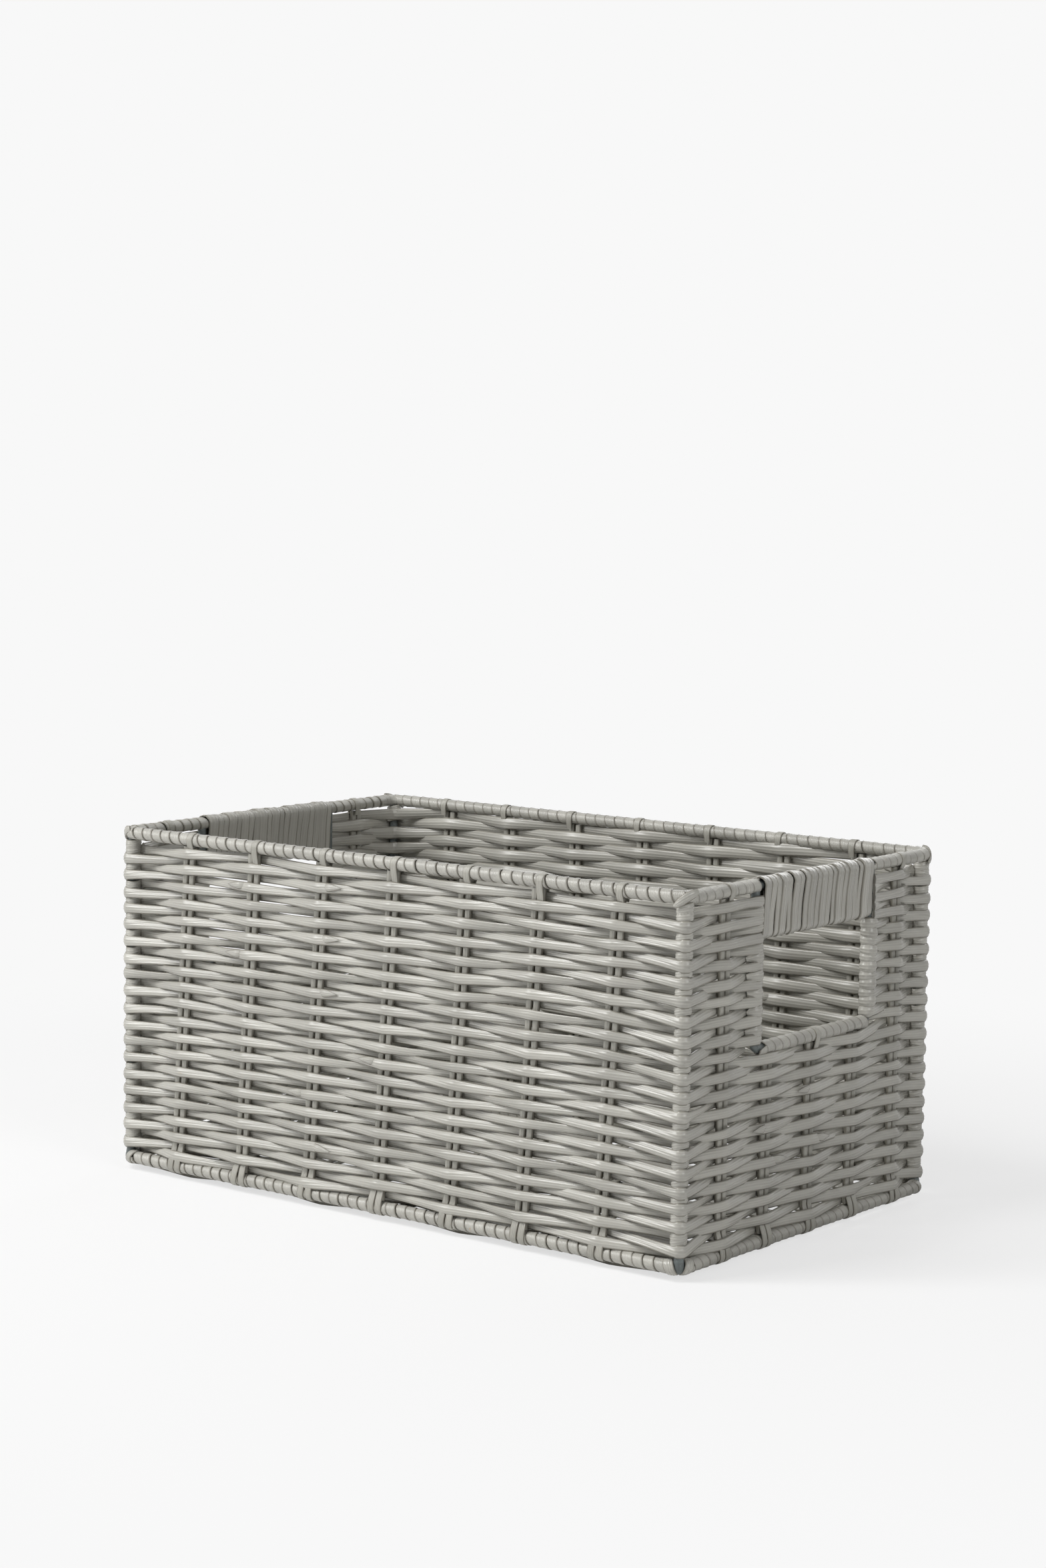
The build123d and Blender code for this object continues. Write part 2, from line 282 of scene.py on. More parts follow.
def sweep(tree, given, curve, fullness, shade):
    """Sweeps the ribbed section along the curve, writes the strand's own coordinates, ends the tree."""
    section = add(tree, "GeometryNodeGroup", node_tree=bpy.data.node_groups["Ribbed Section"])
    for label in SECTION_INPUTS:
        tree.links.new(given[label], section.inputs[label])
    measured = []
    for label, geometry in (("Along", curve), ("Around", section)):
        place = add(tree, "GeometryNodeSplineParameter")
        kept = add(tree, "GeometryNodeCaptureAttribute", {"Geometry": geometry})
        kept.capture_items.new("FLOAT", label)
        tree.links.new(place.outputs["Length"], kept.inputs[label])
        measured.append(kept.outputs)
    line, outline = measured
    links = {"Curve": line[0], "Profile Curve": outline[0], "Scale": fullness, "Fill Caps": True}
    swept = add(tree, "GeometryNodeCurveToMesh", links)
    where = add(tree, "ShaderNodeCombineXYZ", {0: line["Along"], 1: outline["Around"]})
    written = (("UVMap", where, "FLOAT2", "CORNER"), ("shade", shade, "FLOAT", "POINT"))
    for name, value, kind, domain in written:
        links = {"Geometry": swept, "Name": name, "Value": value}
        swept = add(tree, "GeometryNodeStoreNamedAttribute", links, data_type=kind, domain=domain)
    smooth = add(tree, "GeometryNodeSetShadeSmooth", {"Geometry": swept})
    whole = add(tree, "GeometryNodeRealizeInstances", {"Geometry": smooth})
    painted = add(tree, "GeometryNodeSetMaterial", {"Geometry": whole, "Material": given["Material"]})
    add(tree, "NodeGroupOutput", {"Geometry": painted})


def strand_tree():
    """Peel or reed laid along lines whose points say which way its flat face looks."""
    tree, given = new_tree("Strand", {"Geometry": "Geometry", **SECTION_INPUTS, "Material": "Material"})
    line = add(tree, "GeometryNodeMeshToCurve", {"Mesh": given["Geometry"]})
    read = {}
    for name, kind in (("facing", "FLOAT_VECTOR"), ("fullness", "FLOAT"), ("shade", "FLOAT")):
        read[name] = add(tree, "GeometryNodeInputNamedAttribute", {"Name": name}, data_type=kind)
    links = {"Curve": line, "Normal": read["facing"]}
    turned = add(tree, "GeometryNodeSetCurveNormal", links, mode="FREE")
    sweep(tree, given, turned, read["fullness"], read["shade"])
    return tree


def winding_tree():
    """Peel wound round and round a wire's axis, each turn a little tighter or looser than the last."""
    inputs = {"Geometry": "Geometry", **SECTION_INPUTS, **WINDING_INPUTS, "Material": "Material"}
    tree, given = new_tree("Winding", inputs)
    seed_apart = 31.7  # turns between the noise that one seed reads and the next one's
    unevenness = 0.9  # how fast it changes from turn to turn
    lateness = 0.16  # how far a turn may lag behind the even ones
    axis = add(tree, "GeometryNodeMeshToCurve", {"Mesh": given["Geometry"]})
    step = add(tree, "ShaderNodeMath", {0: given["Pitch"], 1: given["Steps"]}, operation="DIVIDE")
    fine = add(tree, "GeometryNodeResampleCurve", {"Curve": axis, "Length": step}, mode="LENGTH")
    level = add(tree, "GeometryNodeSetCurveNormal", {"Curve": fine}, mode="Z_UP")
    turns = add(tree, "GeometryNodeInputNamedAttribute", {"Name": "turns"}, data_type="FLOAT")
    seed = add(tree, "ShaderNodeMath", {0: given["Seed"], 1: seed_apart}, operation="MULTIPLY")
    course = add(tree, "ShaderNodeMath", {0: turns, 1: seed}, operation="ADD")
    links = {"W": course, "Scale": unevenness, "Detail": 1.0}
    rough = add(tree, "ShaderNodeTexNoise", links, noise_dimensions="1D").outputs[0]
    uneven = add(tree, "ShaderNodeMath", {0: rough, 1: 0.5}, operation="SUBTRACT")
    late = add(tree, "ShaderNodeMath", {0: uneven, 1: lateness}, operation="MULTIPLY")
    turned = add(tree, "ShaderNodeMath", {0: turns, 1: late}, operation="ADD")
    angle = add(tree, "ShaderNodeMath", {0: turned, 1: tau}, operation="MULTIPLY")
    normal = add(tree, "GeometryNodeInputNormal")
    tangent = add(tree, "GeometryNodeInputTangent")
    links = {"Vector": normal, "Axis": tangent, "Angle": angle}
    outward = add(tree, "ShaderNodeVectorRotate", links, rotation_type="AXIS_ANGLE")
    number = add(tree, "ShaderNodeMath", {0: turned}, operation="FLOOR")
    links = {"ID": number, "Seed": given["Seed"]}
    shade = add(tree, "FunctionNodeRandomValue", links, data_type="FLOAT")
    kept = add(tree, "GeometryNodeCaptureAttribute", {"Geometry": level})
    for label, kind, source in (
        ("Spoke", "VECTOR", outward.outputs[0]),
        ("Way", "VECTOR", tangent.outputs[0]),
        ("Shade", "FLOAT", shade.outputs[1]),
    ):
        kept.capture_items.new(kind, label)
        tree.links.new(source, kept.inputs[label])
    links = {0: uneven, 1: given["Looseness"], 2: given["Coil Radius"]}
    reach = add(tree, "ShaderNodeMath", links, operation="MULTIPLY_ADD")
    arm = add(tree, "ShaderNodeVectorMath", {0: kept.outputs["Spoke"], "Scale": reach}, operation="SCALE")
    coil = add(tree, "GeometryNodeSetPosition", {"Geometry": kept.outputs[0], "Offset": arm})
    links = {0: kept.outputs["Way"], 1: given["Lap"], 2: kept.outputs["Spoke"]}
    lapped = add(tree, "ShaderNodeVectorMath", links, operation="MULTIPLY_ADD")
    faced = add(tree, "GeometryNodeSetCurveNormal", {"Curve": coil, "Normal": lapped}, mode="FREE")
    sweep(tree, given, faced, 1.0, kept.outputs["Shade"])
    return tree


# ---- lines that the strands follow ----
class Line:
    """A strand's route: its points, how far it is twisted at each, and how full its section is there."""

    def __init__(self, plane, closed=False, shade=0.5):
        self.plane = plane  # the way across the plane in which the strand bends
        self.closed = closed
        self.shade = shade
        self.points = []
        self.twists = []
        self.fulls = []
        self.turns = []

    def go(self, point, twist=0.0, full=1.0):
        """Adds a point."""
        self.points.append(Vector(point))
        self.twists.append(twist)
        self.fulls.append(full)

    def facings(self):
        """The way the strand's flat face looks at each point."""
        count = len(self.points)
        found = []
        for i, twist in enumerate(self.twists):
            before = self.points[i - 1 if self.closed else max(i - 1, 0)]
            after = self.points[(i + 1) % count if self.closed else min(i + 1, count - 1)]
            way = (after - before).normalized()
            out = way.cross(self.plane).normalized()
            found.append(out * cos(twist) + out.cross(way) * sin(twist))
        return found

    def count_turns(self, pitch):
        """Counts the turns wound so far at each point; where the wire bends, they crowd together."""
        self.turns = [0.0]
        for i in range(1, len(self.points)):
            step = self.points[i] - self.points[i - 1]
            before = self.points[i - 1] - self.points[i - 2] if i > 1 else step
            bend = before.angle(step) / step.length
            self.turns.append(self.turns[-1] + step.length / pitch * (1 + bend * bound_r))
        return self

    def smooth(self):
        """Cuts the corners of an open route; the ends stay."""
        places = list(zip(self.points, self.twists, self.fulls))
        self.points, self.twists, self.fulls = [], [], []
        self.go(*places[0])
        for (p, a, f), (q, b, g) in zip(places, places[1:]):
            for share in (0.25, 0.75):
                self.go(p.lerp(q, share), a * (1 - share) + b * share, f * (1 - share) + g * share)
        self.go(*places[-1])
        return self


def lay(name, lines, tree, inputs):
    """Runs a tree on the lines and returns the result as a plain mesh object."""
    points, edges, facings = [], [], []
    marks = {"fullness": [], "shade": [], "turns": []}
    for line in lines:
        first = len(points)
        points += line.points
        facings += line.facings()
        marks["fullness"] += line.fulls
        marks["shade"] += [line.shade] * len(line.points)
        marks["turns"] += line.turns
        edges += [(i, i + 1) for i in range(first, len(points) - 1)]
        if line.closed:
            edges.append((len(points) - 1, first))
    routes = bpy.data.meshes.new(name + "_routes")
    routes.from_pydata(points, edges, [])
    facing = routes.attributes.new("facing", "FLOAT_VECTOR", "POINT")
    facing.data.foreach_set("vector", [c for vector in facings for c in vector])
    for mark, values in marks.items():
        if values:
            routes.attributes.new(mark, "FLOAT", "POINT").data.foreach_set("value", values)
    holder = bpy.data.objects.new(name + "_routes", routes)
    bpy.context.scene.collection.objects.link(holder)
    modifier = holder.modifiers.new(tree.name, "NODES")
    modifier.node_group = tree
    for item in tree.interface.items_tree:
        if item.in_out == "INPUT" and item.name in inputs:
            modifier[item.identifier] = inputs[item.name]
    graph = bpy.context.evaluated_depsgraph_get()
    mesh = bpy.data.meshes.new_from_object(holder.evaluated_get(graph), depsgraph=graph)
    bpy.data.objects.remove(holder)
    bpy.data.meshes.remove(routes)
    if not mesh.polygons:
        raise RuntimeError(f"{name} came out empty")
    for spent in ("facing", "fullness", "turns"):
        if spent in mesh.attributes:
            mesh.attributes.remove(mesh.attributes[spent])
    mesh.name = name
    piece = bpy.data.objects.new(name, mesh)
    bpy.context.scene.collection.objects.link(piece)
    return piece


def settle(piece, nodes):
    """Fixes a finished piece to the frame, in the place of the nodes it stands for."""
    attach(piece, "root")
    if nodes:
        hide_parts(*nodes)


def sizes():
    """The sizes that the user has set."""
    return bpy.context.scene.basket_sizes


def colours():
    """The colours that the user has set."""
    return bpy.context.scene.basket_colours


def geometry_tree(name):
    """The tree of that name, built when it is first asked for."""
    makers = {"Ribbed Section": section_tree, "Strand": strand_tree, "Winding": winding_tree}
    if name != "Ribbed Section":
        geometry_tree("Ribbed Section")
    return bpy.data.node_groups.get(name) or makers[name]()


def strip(finish, width, thickness, ribs, depth, edge=0.18, crown=2.3):
    """A strand tree's inputs for a strip of that size."""
    given = {"Width": width, "Thickness": thickness, "Ribs": ribs, "Rib Depth": depth, "Edge": edge}
    return {**given, "Crown": crown, "Material": finish}


def weaver_inputs(finish):
    """The peel woven round the walls."""
    size = sizes()
    return strip(finish, size.weaver_width, size.weaver_thickness, size.weaver_ribs, size.rib_depth)


def reed_inputs(finish):
    """An upright reed: thicker and rounder than the peel, and three times as deeply ribbed."""
    size = sizes()
    ribs = 3
    depth = size.rib_depth * 3
    return strip(finish, size.reed_width, size.reed_thickness, ribs, depth, edge=0.35, crown=3.0)


# ---- finishes ----
def new_finish(name):
    """An empty material and its surface output."""
    finish = bpy.data.materials.new(name)
    finish.use_nodes = True
    finish.node_tree.nodes.clear()
    return finish, add(finish.node_tree, "ShaderNodeOutputMaterial")


def painted_cane(name, colour, roughness):
    """Rattan, split and drawn flat, then sprayed with satin paint. The coat is so fine that the fibres show
    as fine streaks along the strand. A bump gives each rib its own line of light, and a fine orange peel
    breaks the gleam up. The grooves between the ribs are darkened with painted shade, and towards the
    edges the colour goes over to a dark one, painted shade where the strands touch. The paint has
    missed a spot here and there."""
    finish, output = new_finish(name)
    tree = finish.node_tree
    fibre = 0.5 * MM  # from one streak to the next
    blotch = 30 * MM  # from one darker cloud to the next
    orange_peel = 0.45 * MM  # from one bump of the paint to the next
    spot_length, spot_width = 34 * MM, 7 * MM  # from one missed spot to the next
    own = add(tree, "ShaderNodeUVMap", uv_map="UVMap")
    shade = add(tree, "ShaderNodeAttribute", attribute_name="shade").outputs["Fac"]
    groove = add(tree, "ShaderNodeAttribute", attribute_name="groove").outputs["Fac"]
    flank = add(tree, "ShaderNodeAttribute", attribute_name="flank").outputs["Fac"]
    place = add(tree, "ShaderNodeTexCoord").outputs["Object"]
    links = {"Vector": own, "Scale": (0.03 / fibre, 1 / fibre, 1.0)}
    fibres = add(tree, "ShaderNodeMapping", links)
    links = {"Vector": fibres, "W": shade, "Scale": 1.0, "Detail": 3.0}
    streaks = add(tree, "ShaderNodeTexNoise", links, noise_dimensions="4D")
    cloud = add(tree, "ShaderNodeTexNoise", {"Vector": place, "Scale": 1 / blotch, "Detail": 2.0})
    dark = tuple(c * 0.86 for c in colour)
    pale = tuple(min(c * 1.1, 1.0) for c in colour)
    links = {"Factor": streaks, 6: (*dark, 1.0), 7: (*pale, 1.0)}
    streaked = add(tree, "ShaderNodeMix", links, data_type="RGBA").outputs[2]
    tint = add(tree, "ShaderNodeMapRange", {"Value": shade, "To Min": 0.90, "To Max": 1.06})
    links = {"Value": cloud, "From Min": 0.3, "From Max": 0.7, "To Min": 0.94, "To Max": 1.05}
    drift = add(tree, "ShaderNodeMapRange", links)
    # painted shade: the grooves between the ribs are drawn darker than the crests
    painted_groove_shade = add(tree, "ShaderNodeMapRange", {"Value": groove, "To Min": 1.02, "To Max": 0.9})
    level = add(tree, "ShaderNodeMath", {0: tint, 1: drift}, operation="MULTIPLY")
    level = add(tree, "ShaderNodeMath", {0: level, 1: painted_groove_shade}, operation="MULTIPLY")
    grey = add(tree, "ShaderNodeCombineColor", {0: level, 1: level, 2: level})
    links = {"Factor": 1.0, 6: streaked, 7: grey}
    toned = add(tree, "ShaderNodeMix", links, data_type="RGBA", blend_type="MULTIPLY").outputs[2]
    # painted shade: towards each strand's edges, and along the seams between turns, the colour goes over to
    # a dark one that stands in for the shade where strands touch
    painted_edge_shade = add(tree, "ShaderNodeMapRange", {"Value": flank, "From Min": 0.25, "To Max": 0.62})
    links = {"Factor": painted_edge_shade, 6: toned, 7: (*colours().painted_crevice_shade, 1.0)}
    toned = add(tree, "ShaderNodeMix", links, data_type="RGBA").outputs[2]
    links = {"Vector": own, "Scale": (1 / spot_length, 1 / spot_width, 1.0)}
    spots = add(tree, "ShaderNodeMapping", links)
    links = {"Vector": spots, "W": shade, "Scale": 1.0, "Detail": 3.0}
    missed = add(tree, "ShaderNodeTexNoise", links, noise_dimensions="4D")
    bare = add(tree, "ShaderNodeMapRange", {"Value": missed, "From Min": 0.71, "From Max": 0.77})
    links = {"Factor": bare, 6: toned, 7: (*colours().bare_cane, 1.0)}
    final = add(tree, "ShaderNodeMix", links, data_type="RGBA").outputs[2]
    links = {"Value": streaks, "To Min": roughness - 0.06, "To Max": roughness + 0.1}
    rough = add(tree, "ShaderNodeMapRange", links)
    half_turn = add(tree, "ShaderNodeMath", {0: groove, 1: pi}, operation="MULTIPLY")
    rib = add(tree, "ShaderNodeMath", {0: half_turn}, operation="COSINE")
    ribs = add(tree, "ShaderNodeBump", {"Height": rib, "Strength": 1.0, "Distance": 0.05 * MM})
    grain = add(tree, "ShaderNodeTexNoise", {"Vector": place, "Scale": 1 / orange_peel, "Detail": 2.0})
    coarse = add(tree, "ShaderNodeMath", {0: grain, 1: streaks}, operation="ADD")
    links = {"Height": coarse, "Strength": 0.35, "Distance": 0.06 * MM, "Normal": ribs}
    bump = add(tree, "ShaderNodeBump", links)
    links = {"Base Color": final, "Roughness": rough, "Normal": bump, "IOR": 1.5}
    skin = add(tree, "ShaderNodeBsdfPrincipled", links)
    tree.links.new(skin.outputs[0], output.inputs["Surface"])
    return finish


def coated_steel(name, colour):
    """Drawn steel wire with a dark lacquer, rubbed where the peel was pulled round it: an even grey with
    a broad soft gleam and paler scuffs."""
    finish, output = new_finish(name)
    tree = finish.node_tree
    scuff = 2.5 * MM  # from one scuff to the next
    place = add(tree, "ShaderNodeTexCoord").outputs["Object"]
    scuffs = add(tree, "ShaderNodeTexNoise", {"Vector": place, "Scale": 1 / scuff, "Detail": 4.0})
    worn = add(tree, "ShaderNodeMapRange", {"Value": scuffs, "From Min": 0.52, "From Max": 0.72})
    rubbed = tuple(min(c * 1.6, 1.0) for c in colour)
    links = {"Factor": worn, 6: (*colour, 1.0), 7: (*rubbed, 1.0)}
    shown = add(tree, "ShaderNodeMix", links, data_type="RGBA").outputs[2]
    rough = add(tree, "ShaderNodeMapRange", {"Value": scuffs, "To Min": 0.28, "To Max": 0.5})
    bump = add(tree, "ShaderNodeBump", {"Height": scuffs, "Strength": 0.1, "Distance": 0.1 * MM})
    links = {"Base Color": shown, "Roughness": rough, "Normal": bump, "IOR": 1.5}
    skin = add(tree, "ShaderNodeBsdfPrincipled", links)
    tree.links.new(skin.outputs[0], output.inputs["Surface"])
    return finish


def finish_of(name):
    """The material of that name, made when it is first asked for."""
    found = bpy.data.materials.get(name)
    if found:
        return found
    if name == "Coated Steel":
        return coated_steel(name, tuple(colours().wire))
    if name == "Painted Reed":
        return painted_cane(name, tuple(colours().reed), roughness=0.34)
    return painted_cane(name, tuple(colours().peel), roughness=0.23)


# ---- steel wire ----
def quarter(centre, start, end, radius, steps=6, ends=False):
    """Points of a quarter circle that turns from one way to the other."""
    span = range(0 if ends else 1, steps + 1 if ends else steps)
    return [centre + spoke(start, end, i / steps * pi / 2) * radius for i in span]


# the wires' bends, at the hoops' corners and under the hand holes
corner_bend_r = 8 * MM
opening_bend_r = 6 * MM


def hoop_corner(wall, z):
    """The centre of a hoop's bend at the far end of a wall, and the ways it turns from and to."""
    side = WALLS[wall]
    reach = WALLS[(wall + 1) % 4].plane - corner_bend_r
    centre = side.along * reach + side.out * (side.plane - corner_bend_r) + UP * z
    return centre, side.out, side.along


def hoop_line(z):
    """Once round the rim's or the base's wire."""
    line = Line(UP, closed=True)
    for wall in range(4):
        centre, out, along = hoop_corner(wall, z)
        for point in quarter(centre, out, along, corner_bend_r, ends=True):
            line.go(point)
    return line


def opening_line(side):
    """Down one post of a hand hole, along the sill and up the other."""
    line = Line(Vector((1, 0, 0)))
    across = Vector((0, 1, 0))
    line.go((side * rim_x, -hole_y, rim_z - wire_r))
    for hand in (-1, 1):
        centre = Vector((side * rim_x, hand * (hole_y - opening_bend_r), sill_z + opening_bend_r))
        ways = (across * hand, -UP) if hand < 0 else (-UP, across)
        for point in quarter(centre, *ways, opening_bend_r, ends=True):
            line.go(point)
    line.go((side * rim_x, hole_y, rim_z - wire_r))
    return line


def bend_wires():
    """The hoops of the rim and the base, the frames and bars of the hand holes, and the corner posts."""
    outset = 0.35 * MM  # a post's foot stands this far out on the base wire's bend
    # the weld round the foot: how high above the base wire, in mm, and how full the post is there
    weld = ((-3.4, 0.5), (-2.8, 1.0), (-1.4, 1.3), (0.6, 1.35), (3.0, 1.2), (6.0, 1.0))
    lines = [hoop_line(rim_z), hoop_line(base_z)]
    for side in (-1, 1):
        lines.append(opening_line(side))
        bar = Line(UP)
        bar.go((side * rim_x, -hole_y + wire_r, grip_z))
        bar.go((side * rim_x, hole_y - wire_r, grip_z))
        lines.append(bar)
        for hand in (-1, 1):
            post = Line(Vector((1, 0, 0)))
            x, y = side * (post_x + outset), hand * (post_y + outset)
            for height, full in weld:
                post.go((x, y, base_z + height * MM), full=full)
            post.go((side * post_x, hand * post_y, rim_z - wire_r))
            lines.append(post)
    ribs = 4
    inputs = strip(finish_of("Coated Steel"), 2 * wire_r, 2 * wire_r, ribs, 0.0, edge=0.1, crown=2.4)
    piece = lay("wire_frame", lines, geometry_tree("Strand"), inputs)
    nodes = [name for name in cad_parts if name.split("_")[0] in ("opening", "grip", "corner")]
    nodes = [name for name in nodes if not name.startswith("grip_wrap")]
    settle(piece, ["rim_wire", "base_wire", *nodes])


# ---- woven walls ----
def eased(share):
    """From 0 to 1 as a strand goes from one stake to the next: straight, and rounded off at both."""
    straight = 0.965
    return 0.5 - asin(straight * cos(pi * share)) / (2 * asin(straight))


def leaning(wall, place, z):
    """How far a stake strays along its wall at a height: those of the front wall lean to the right."""
    share = (z - base_z) / (rim_z - base_z)
    lean = random.Random(f"{wall}/{place:.4f}")
    drift = lean.uniform(-1.2, 1.2) * MM
    if wall == FRONT:
        return drift + (9.0 * share - 4.2) * MM
    return drift + lean.uniform(-2.5, 2.5) * MM * (share - 0.5)


class Wander:
    """The small unevenness of hand weaving, drawn in order from one seed."""

    def __init__(self, seed):
        self.draws = random.Random(seed)

    def rise(self):
        """How far a strand strays up or down."""
        return self.draws.uniform(-1, 1) * sizes().wander

    def twist(self, low=-6, high=6):
        """How far it rolls over, between two angles in degrees."""
        return radians(self.draws.uniform(low, high))

    def full(self):
        """How full its section is."""
        return 1 + self.draws.uniform(-0.07, 0.07)


def wave(place, i):
    """How far row i lies above its level at a place: neighbouring rows roll up and down together."""
    swell = 46 * MM  # from one crest to the next, roughly
    row_apart = 0.31  # how far the next row has moved on
    where = Vector((place.x / swell, place.y / swell, i * row_apart))
    return noise.noise(where) * sizes().waves


def run_of(line, wall, i, stations, wander, steps):
    """Adds a stretch of row i along a wall past its stations: each is how far along and out it lies, and
    how far it is pushed up. Between two stations the strand crosses the wall, rolls over a little and
    looks narrower. Inside a stake it is fuller, most of all in the back and left walls, where it also
    rolls only half as far."""
    narrowing, inside = {FRONT: (0.18, 0.02), RIGHT: (0.08, 0.16)}.get(wall, (0.05, 0.3))
    drawn = []
    for s, d, push in stations:
        z = row_z[i] + push + wander.rise() + wave(place_on(wall, s, 0.0, 0.0), i)
        drawn.append([s, d, z, wander.twist(), wander.full() + (0.06 if d > 0 else inside)])
    if line.points:
        drawn[0][2] = line.points[-1].z
    for (s0, d0, z0, t0, f0), (s1, d1, z1, t1, f1) in zip(drawn, drawn[1:]):
        roll = wander.twist(8, 40) if wander.draws.random() < 0.8 else wander.twist(-28, -8)
        if wall in (BACK, LEFT):
            roll *= 0.5
        sag = wander.draws.uniform(-0.5, 0.5) * MM  # how far it strays halfway to the next stake
        for step in range(steps):
            # the points crowd together at the stakes, where the strand bends
            share = step / steps - 0.6 * sin(tau * step / steps) / tau
            ease = eased(share)
            slack = sin(pi * share) ** 0.8
            height = z0 + (z1 - z0) * share + sag * slack
            twist = t0 + (t1 - t0) * ease + roll * slack
            full = f0 + (f1 - f0) * ease - narrowing * slack
            line.go(place_on(wall, s0 + (s1 - s0) * share, d0 + (d1 - d0) * ease, height), twist, full)
    s, d, height, twist, full = drawn[-1]
    line.go(place_on(wall, s, d, height), twist, full)


bound_r = wire_r + 1.15 * MM  # a wire with peel wound round it
long_seat = 2.75 * MM  # from a long wall's plane to the middle of a weaver that passes a pair of reeds
end_seat = 3.4 * MM  # the same in an end wall, whose stakes stand closer
post_seat = 3.75 * MM  # from a corner post's axis to a weaver that goes round it
inner_seat = 3.4 * MM  # the same, inside the post
inner_bend_r = 3 * MM  # the bend of a row that passes inside a post
hook_r = 3.45 * MM  # from a hand hole's post to the end of a row hooked round it
first_ring = 17  # the first row that closes under the hand holes
below_sill = 6.0 * MM  # from the sill's wire down to that row
beaten_pitch = 4.35 * MM  # from one row to the next where they are pushed down under the sill
corner_reach = 45 * MM  # how far from a corner post the rows begin to dip

# in millimetres, from the lowest row up: how far the last rows stray along a wall, and how far they dip at
# its corners, where all the others dip alike; then, from the top row down, how far the back's are pushed up
BEATEN_DOWN = (-1.3, -0.5, 0.0, 0.0)
LAST_DIPS = (0.8, 3.6, 3.0, 2.6)
CORNER_DIP = 2.2
PUSHED_UP = (1.6, 0.8)


def under_sill(i, s):
    """How far a row is pushed down where it passes under a hand hole's sill; past the hole this fades
    out."""
    room = sill_z - below_sill - (i - first_ring) * beaten_pitch
    push = min(room - row_z[i], 0.0)
    past_hole, fade = 16 * MM, 18 * MM
    reach = min(max((hole_y + past_hole - abs(s)) / fade, 0.0), 1.0)
    return push * smoothed(reach)


def press(i, wall, s):
    """How far a row strays from its even place: it dips at the corners, the first rows of the back are
    pushed up against the rim, and the last few are beaten down on to the base."""
    near = min(max((abs(s) - WALLS[wall].half + corner_reach) / corner_reach, 0.0), 1.0)
    last = row_count - 1 - i
    everywhere = BEATEN_DOWN[last] if last < len(BEATEN_DOWN) else 0.0
    if wall == BACK and i < len(PUSHED_UP):
        everywhere = PUSHED_UP[i]
    at_corners = LAST_DIPS[last] if last < len(LAST_DIPS) else CORNER_DIP
    return (everywhere - at_corners * near * near) * MM


def wall_stations(i, wall, first=0, last=None):
    """Where row i passes the stakes of a wall, from one number to another."""
    turn = 1 if i % 2 == 0 else -1
    seat = end_seat if wall in (RIGHT, LEFT) else long_seat
    found = []
    for k, place in list(enumerate(WALLS[wall].stakes))[first:last]:
        s = place + leaning(wall, place, row_z[i])
        drop = under_sill(i, s) if wall in (RIGHT, LEFT) and i >= first_ring else 0.0
        found.append((s, seat * turn * (-1) ** k, drop + press(i, wall, s)))
    return found


def corner_station(i, wall, end):
    """Where row i leaves a wall for its corner; end is -1 or 1."""
    half = WALLS[wall].half
    push = press(i, wall, half)
    if i % 2:
        return (end * half, post_seat - post_inset, push)
    return (end * (half - inner_seat - inner_bend_r), -post_inset - inner_seat, push)


def round_corner(line, i, wall):
    """The bend of row i from a wall to the next: round the corner post, or inside it, where it lies
    fuller."""
    side = WALLS[wall]
    post = place_on(wall, side.half, -post_inset, line.points[-1].z)
    if i % 2:
        for point in quarter(post, side.out, side.along, post_seat):
            line.go(point, full=1.2)
        return
    centre = post - (side.along + side.out) * (inner_seat + inner_bend_r)
    for point in quarter(centre, side.out, side.along, inner_bend_r, steps=4):
        line.go(point, full=1.35)


def hook(line, wall, s, side, way, wander):
    """Round a hand hole's post from one side of the wall to the other; way is the way along towards the
    hole. A strand from outside fans out over the post and is tucked in behind it. One from inside comes
    round on to the outside, spreads over the post and is tucked under its neighbours."""
    z = line.points[-1].z
    fall = wander.draws.uniform(-0.8, 1.4) * MM  # how far it sinks as it goes round
    span = radians(200 if side > 0 else wander.draws.uniform(205, 228))
    steps = 12
    for step in range(1, steps + 1):
        share = step / steps
        angle = span * share
        if side > 0:
            radius = hook_r
            full = 1.12 + 0.2 * sin(min(angle, pi))
        else:
            radius = hook_r + 0.5 * MM * share
            full = 1.02 + 0.26 * sin(pi * share ** 1.5)
        place = place_on(wall, s + way * radius * sin(angle), side * radius * cos(angle), z - fall * share)
        line.go(place, wander.twist(-2, 2), full)
    if side > 0:
        line.go(place_on(wall, s - way * 3.2 * MM, 0.6 * MM - hook_r, z - fall), full=0.9)
    else:
        reach = wander.draws.uniform(4.5, 8.0) * MM  # how far its tip goes on under its neighbours
        drift = wander.draws.uniform(-1.5, 0.8) * MM
        line.go(place_on(wall, s - way * 4.0 * MM, 1.7 * MM, z - fall * 1.4), full=0.85)
        line.go(place_on(wall, s - way * reach, -0.4 * MM, z - fall * 2 + drift), full=0.5)


def hole_end(i, end):
    """The last station of row i at a hand hole's post, and from which side it hooks round the post. Rows
    level with the grip bar or the sill stop there instead."""
    side = 1 if i % 2 else -1
    beside_bar = row_z[i] > grip_z - 4.5 * MM
    beside_sill = row_z[i] < sill_z + 3.4 * MM
    if beside_bar:
        return (end * (hole_y - 1.4 * MM), hook_r, 0.0), None
    if beside_sill:
        return (end * (hole_y + 3.4 * MM), side * hook_r, 0.0), None
    return (end * hole_y, side * hook_r, 0.0), side


# points of a row from one stake to the next
LONG_STEPS = 12
END_STEPS = 10


def ring_row(i, wander):
    """A row that closes on itself, under the hand holes."""
    line = Line(UP, closed=True, shade=wander.draws.random())
    for wall in range(4):
        stations = [corner_station(i, wall, -1), *wall_stations(i, wall), corner_station(i, wall, 1)]
        run_of(line, wall, i, stations, wander, END_STEPS if wall in (RIGHT, LEFT) else LONG_STEPS)
        round_corner(line, i, wall)
    level_seam(line)
    return line


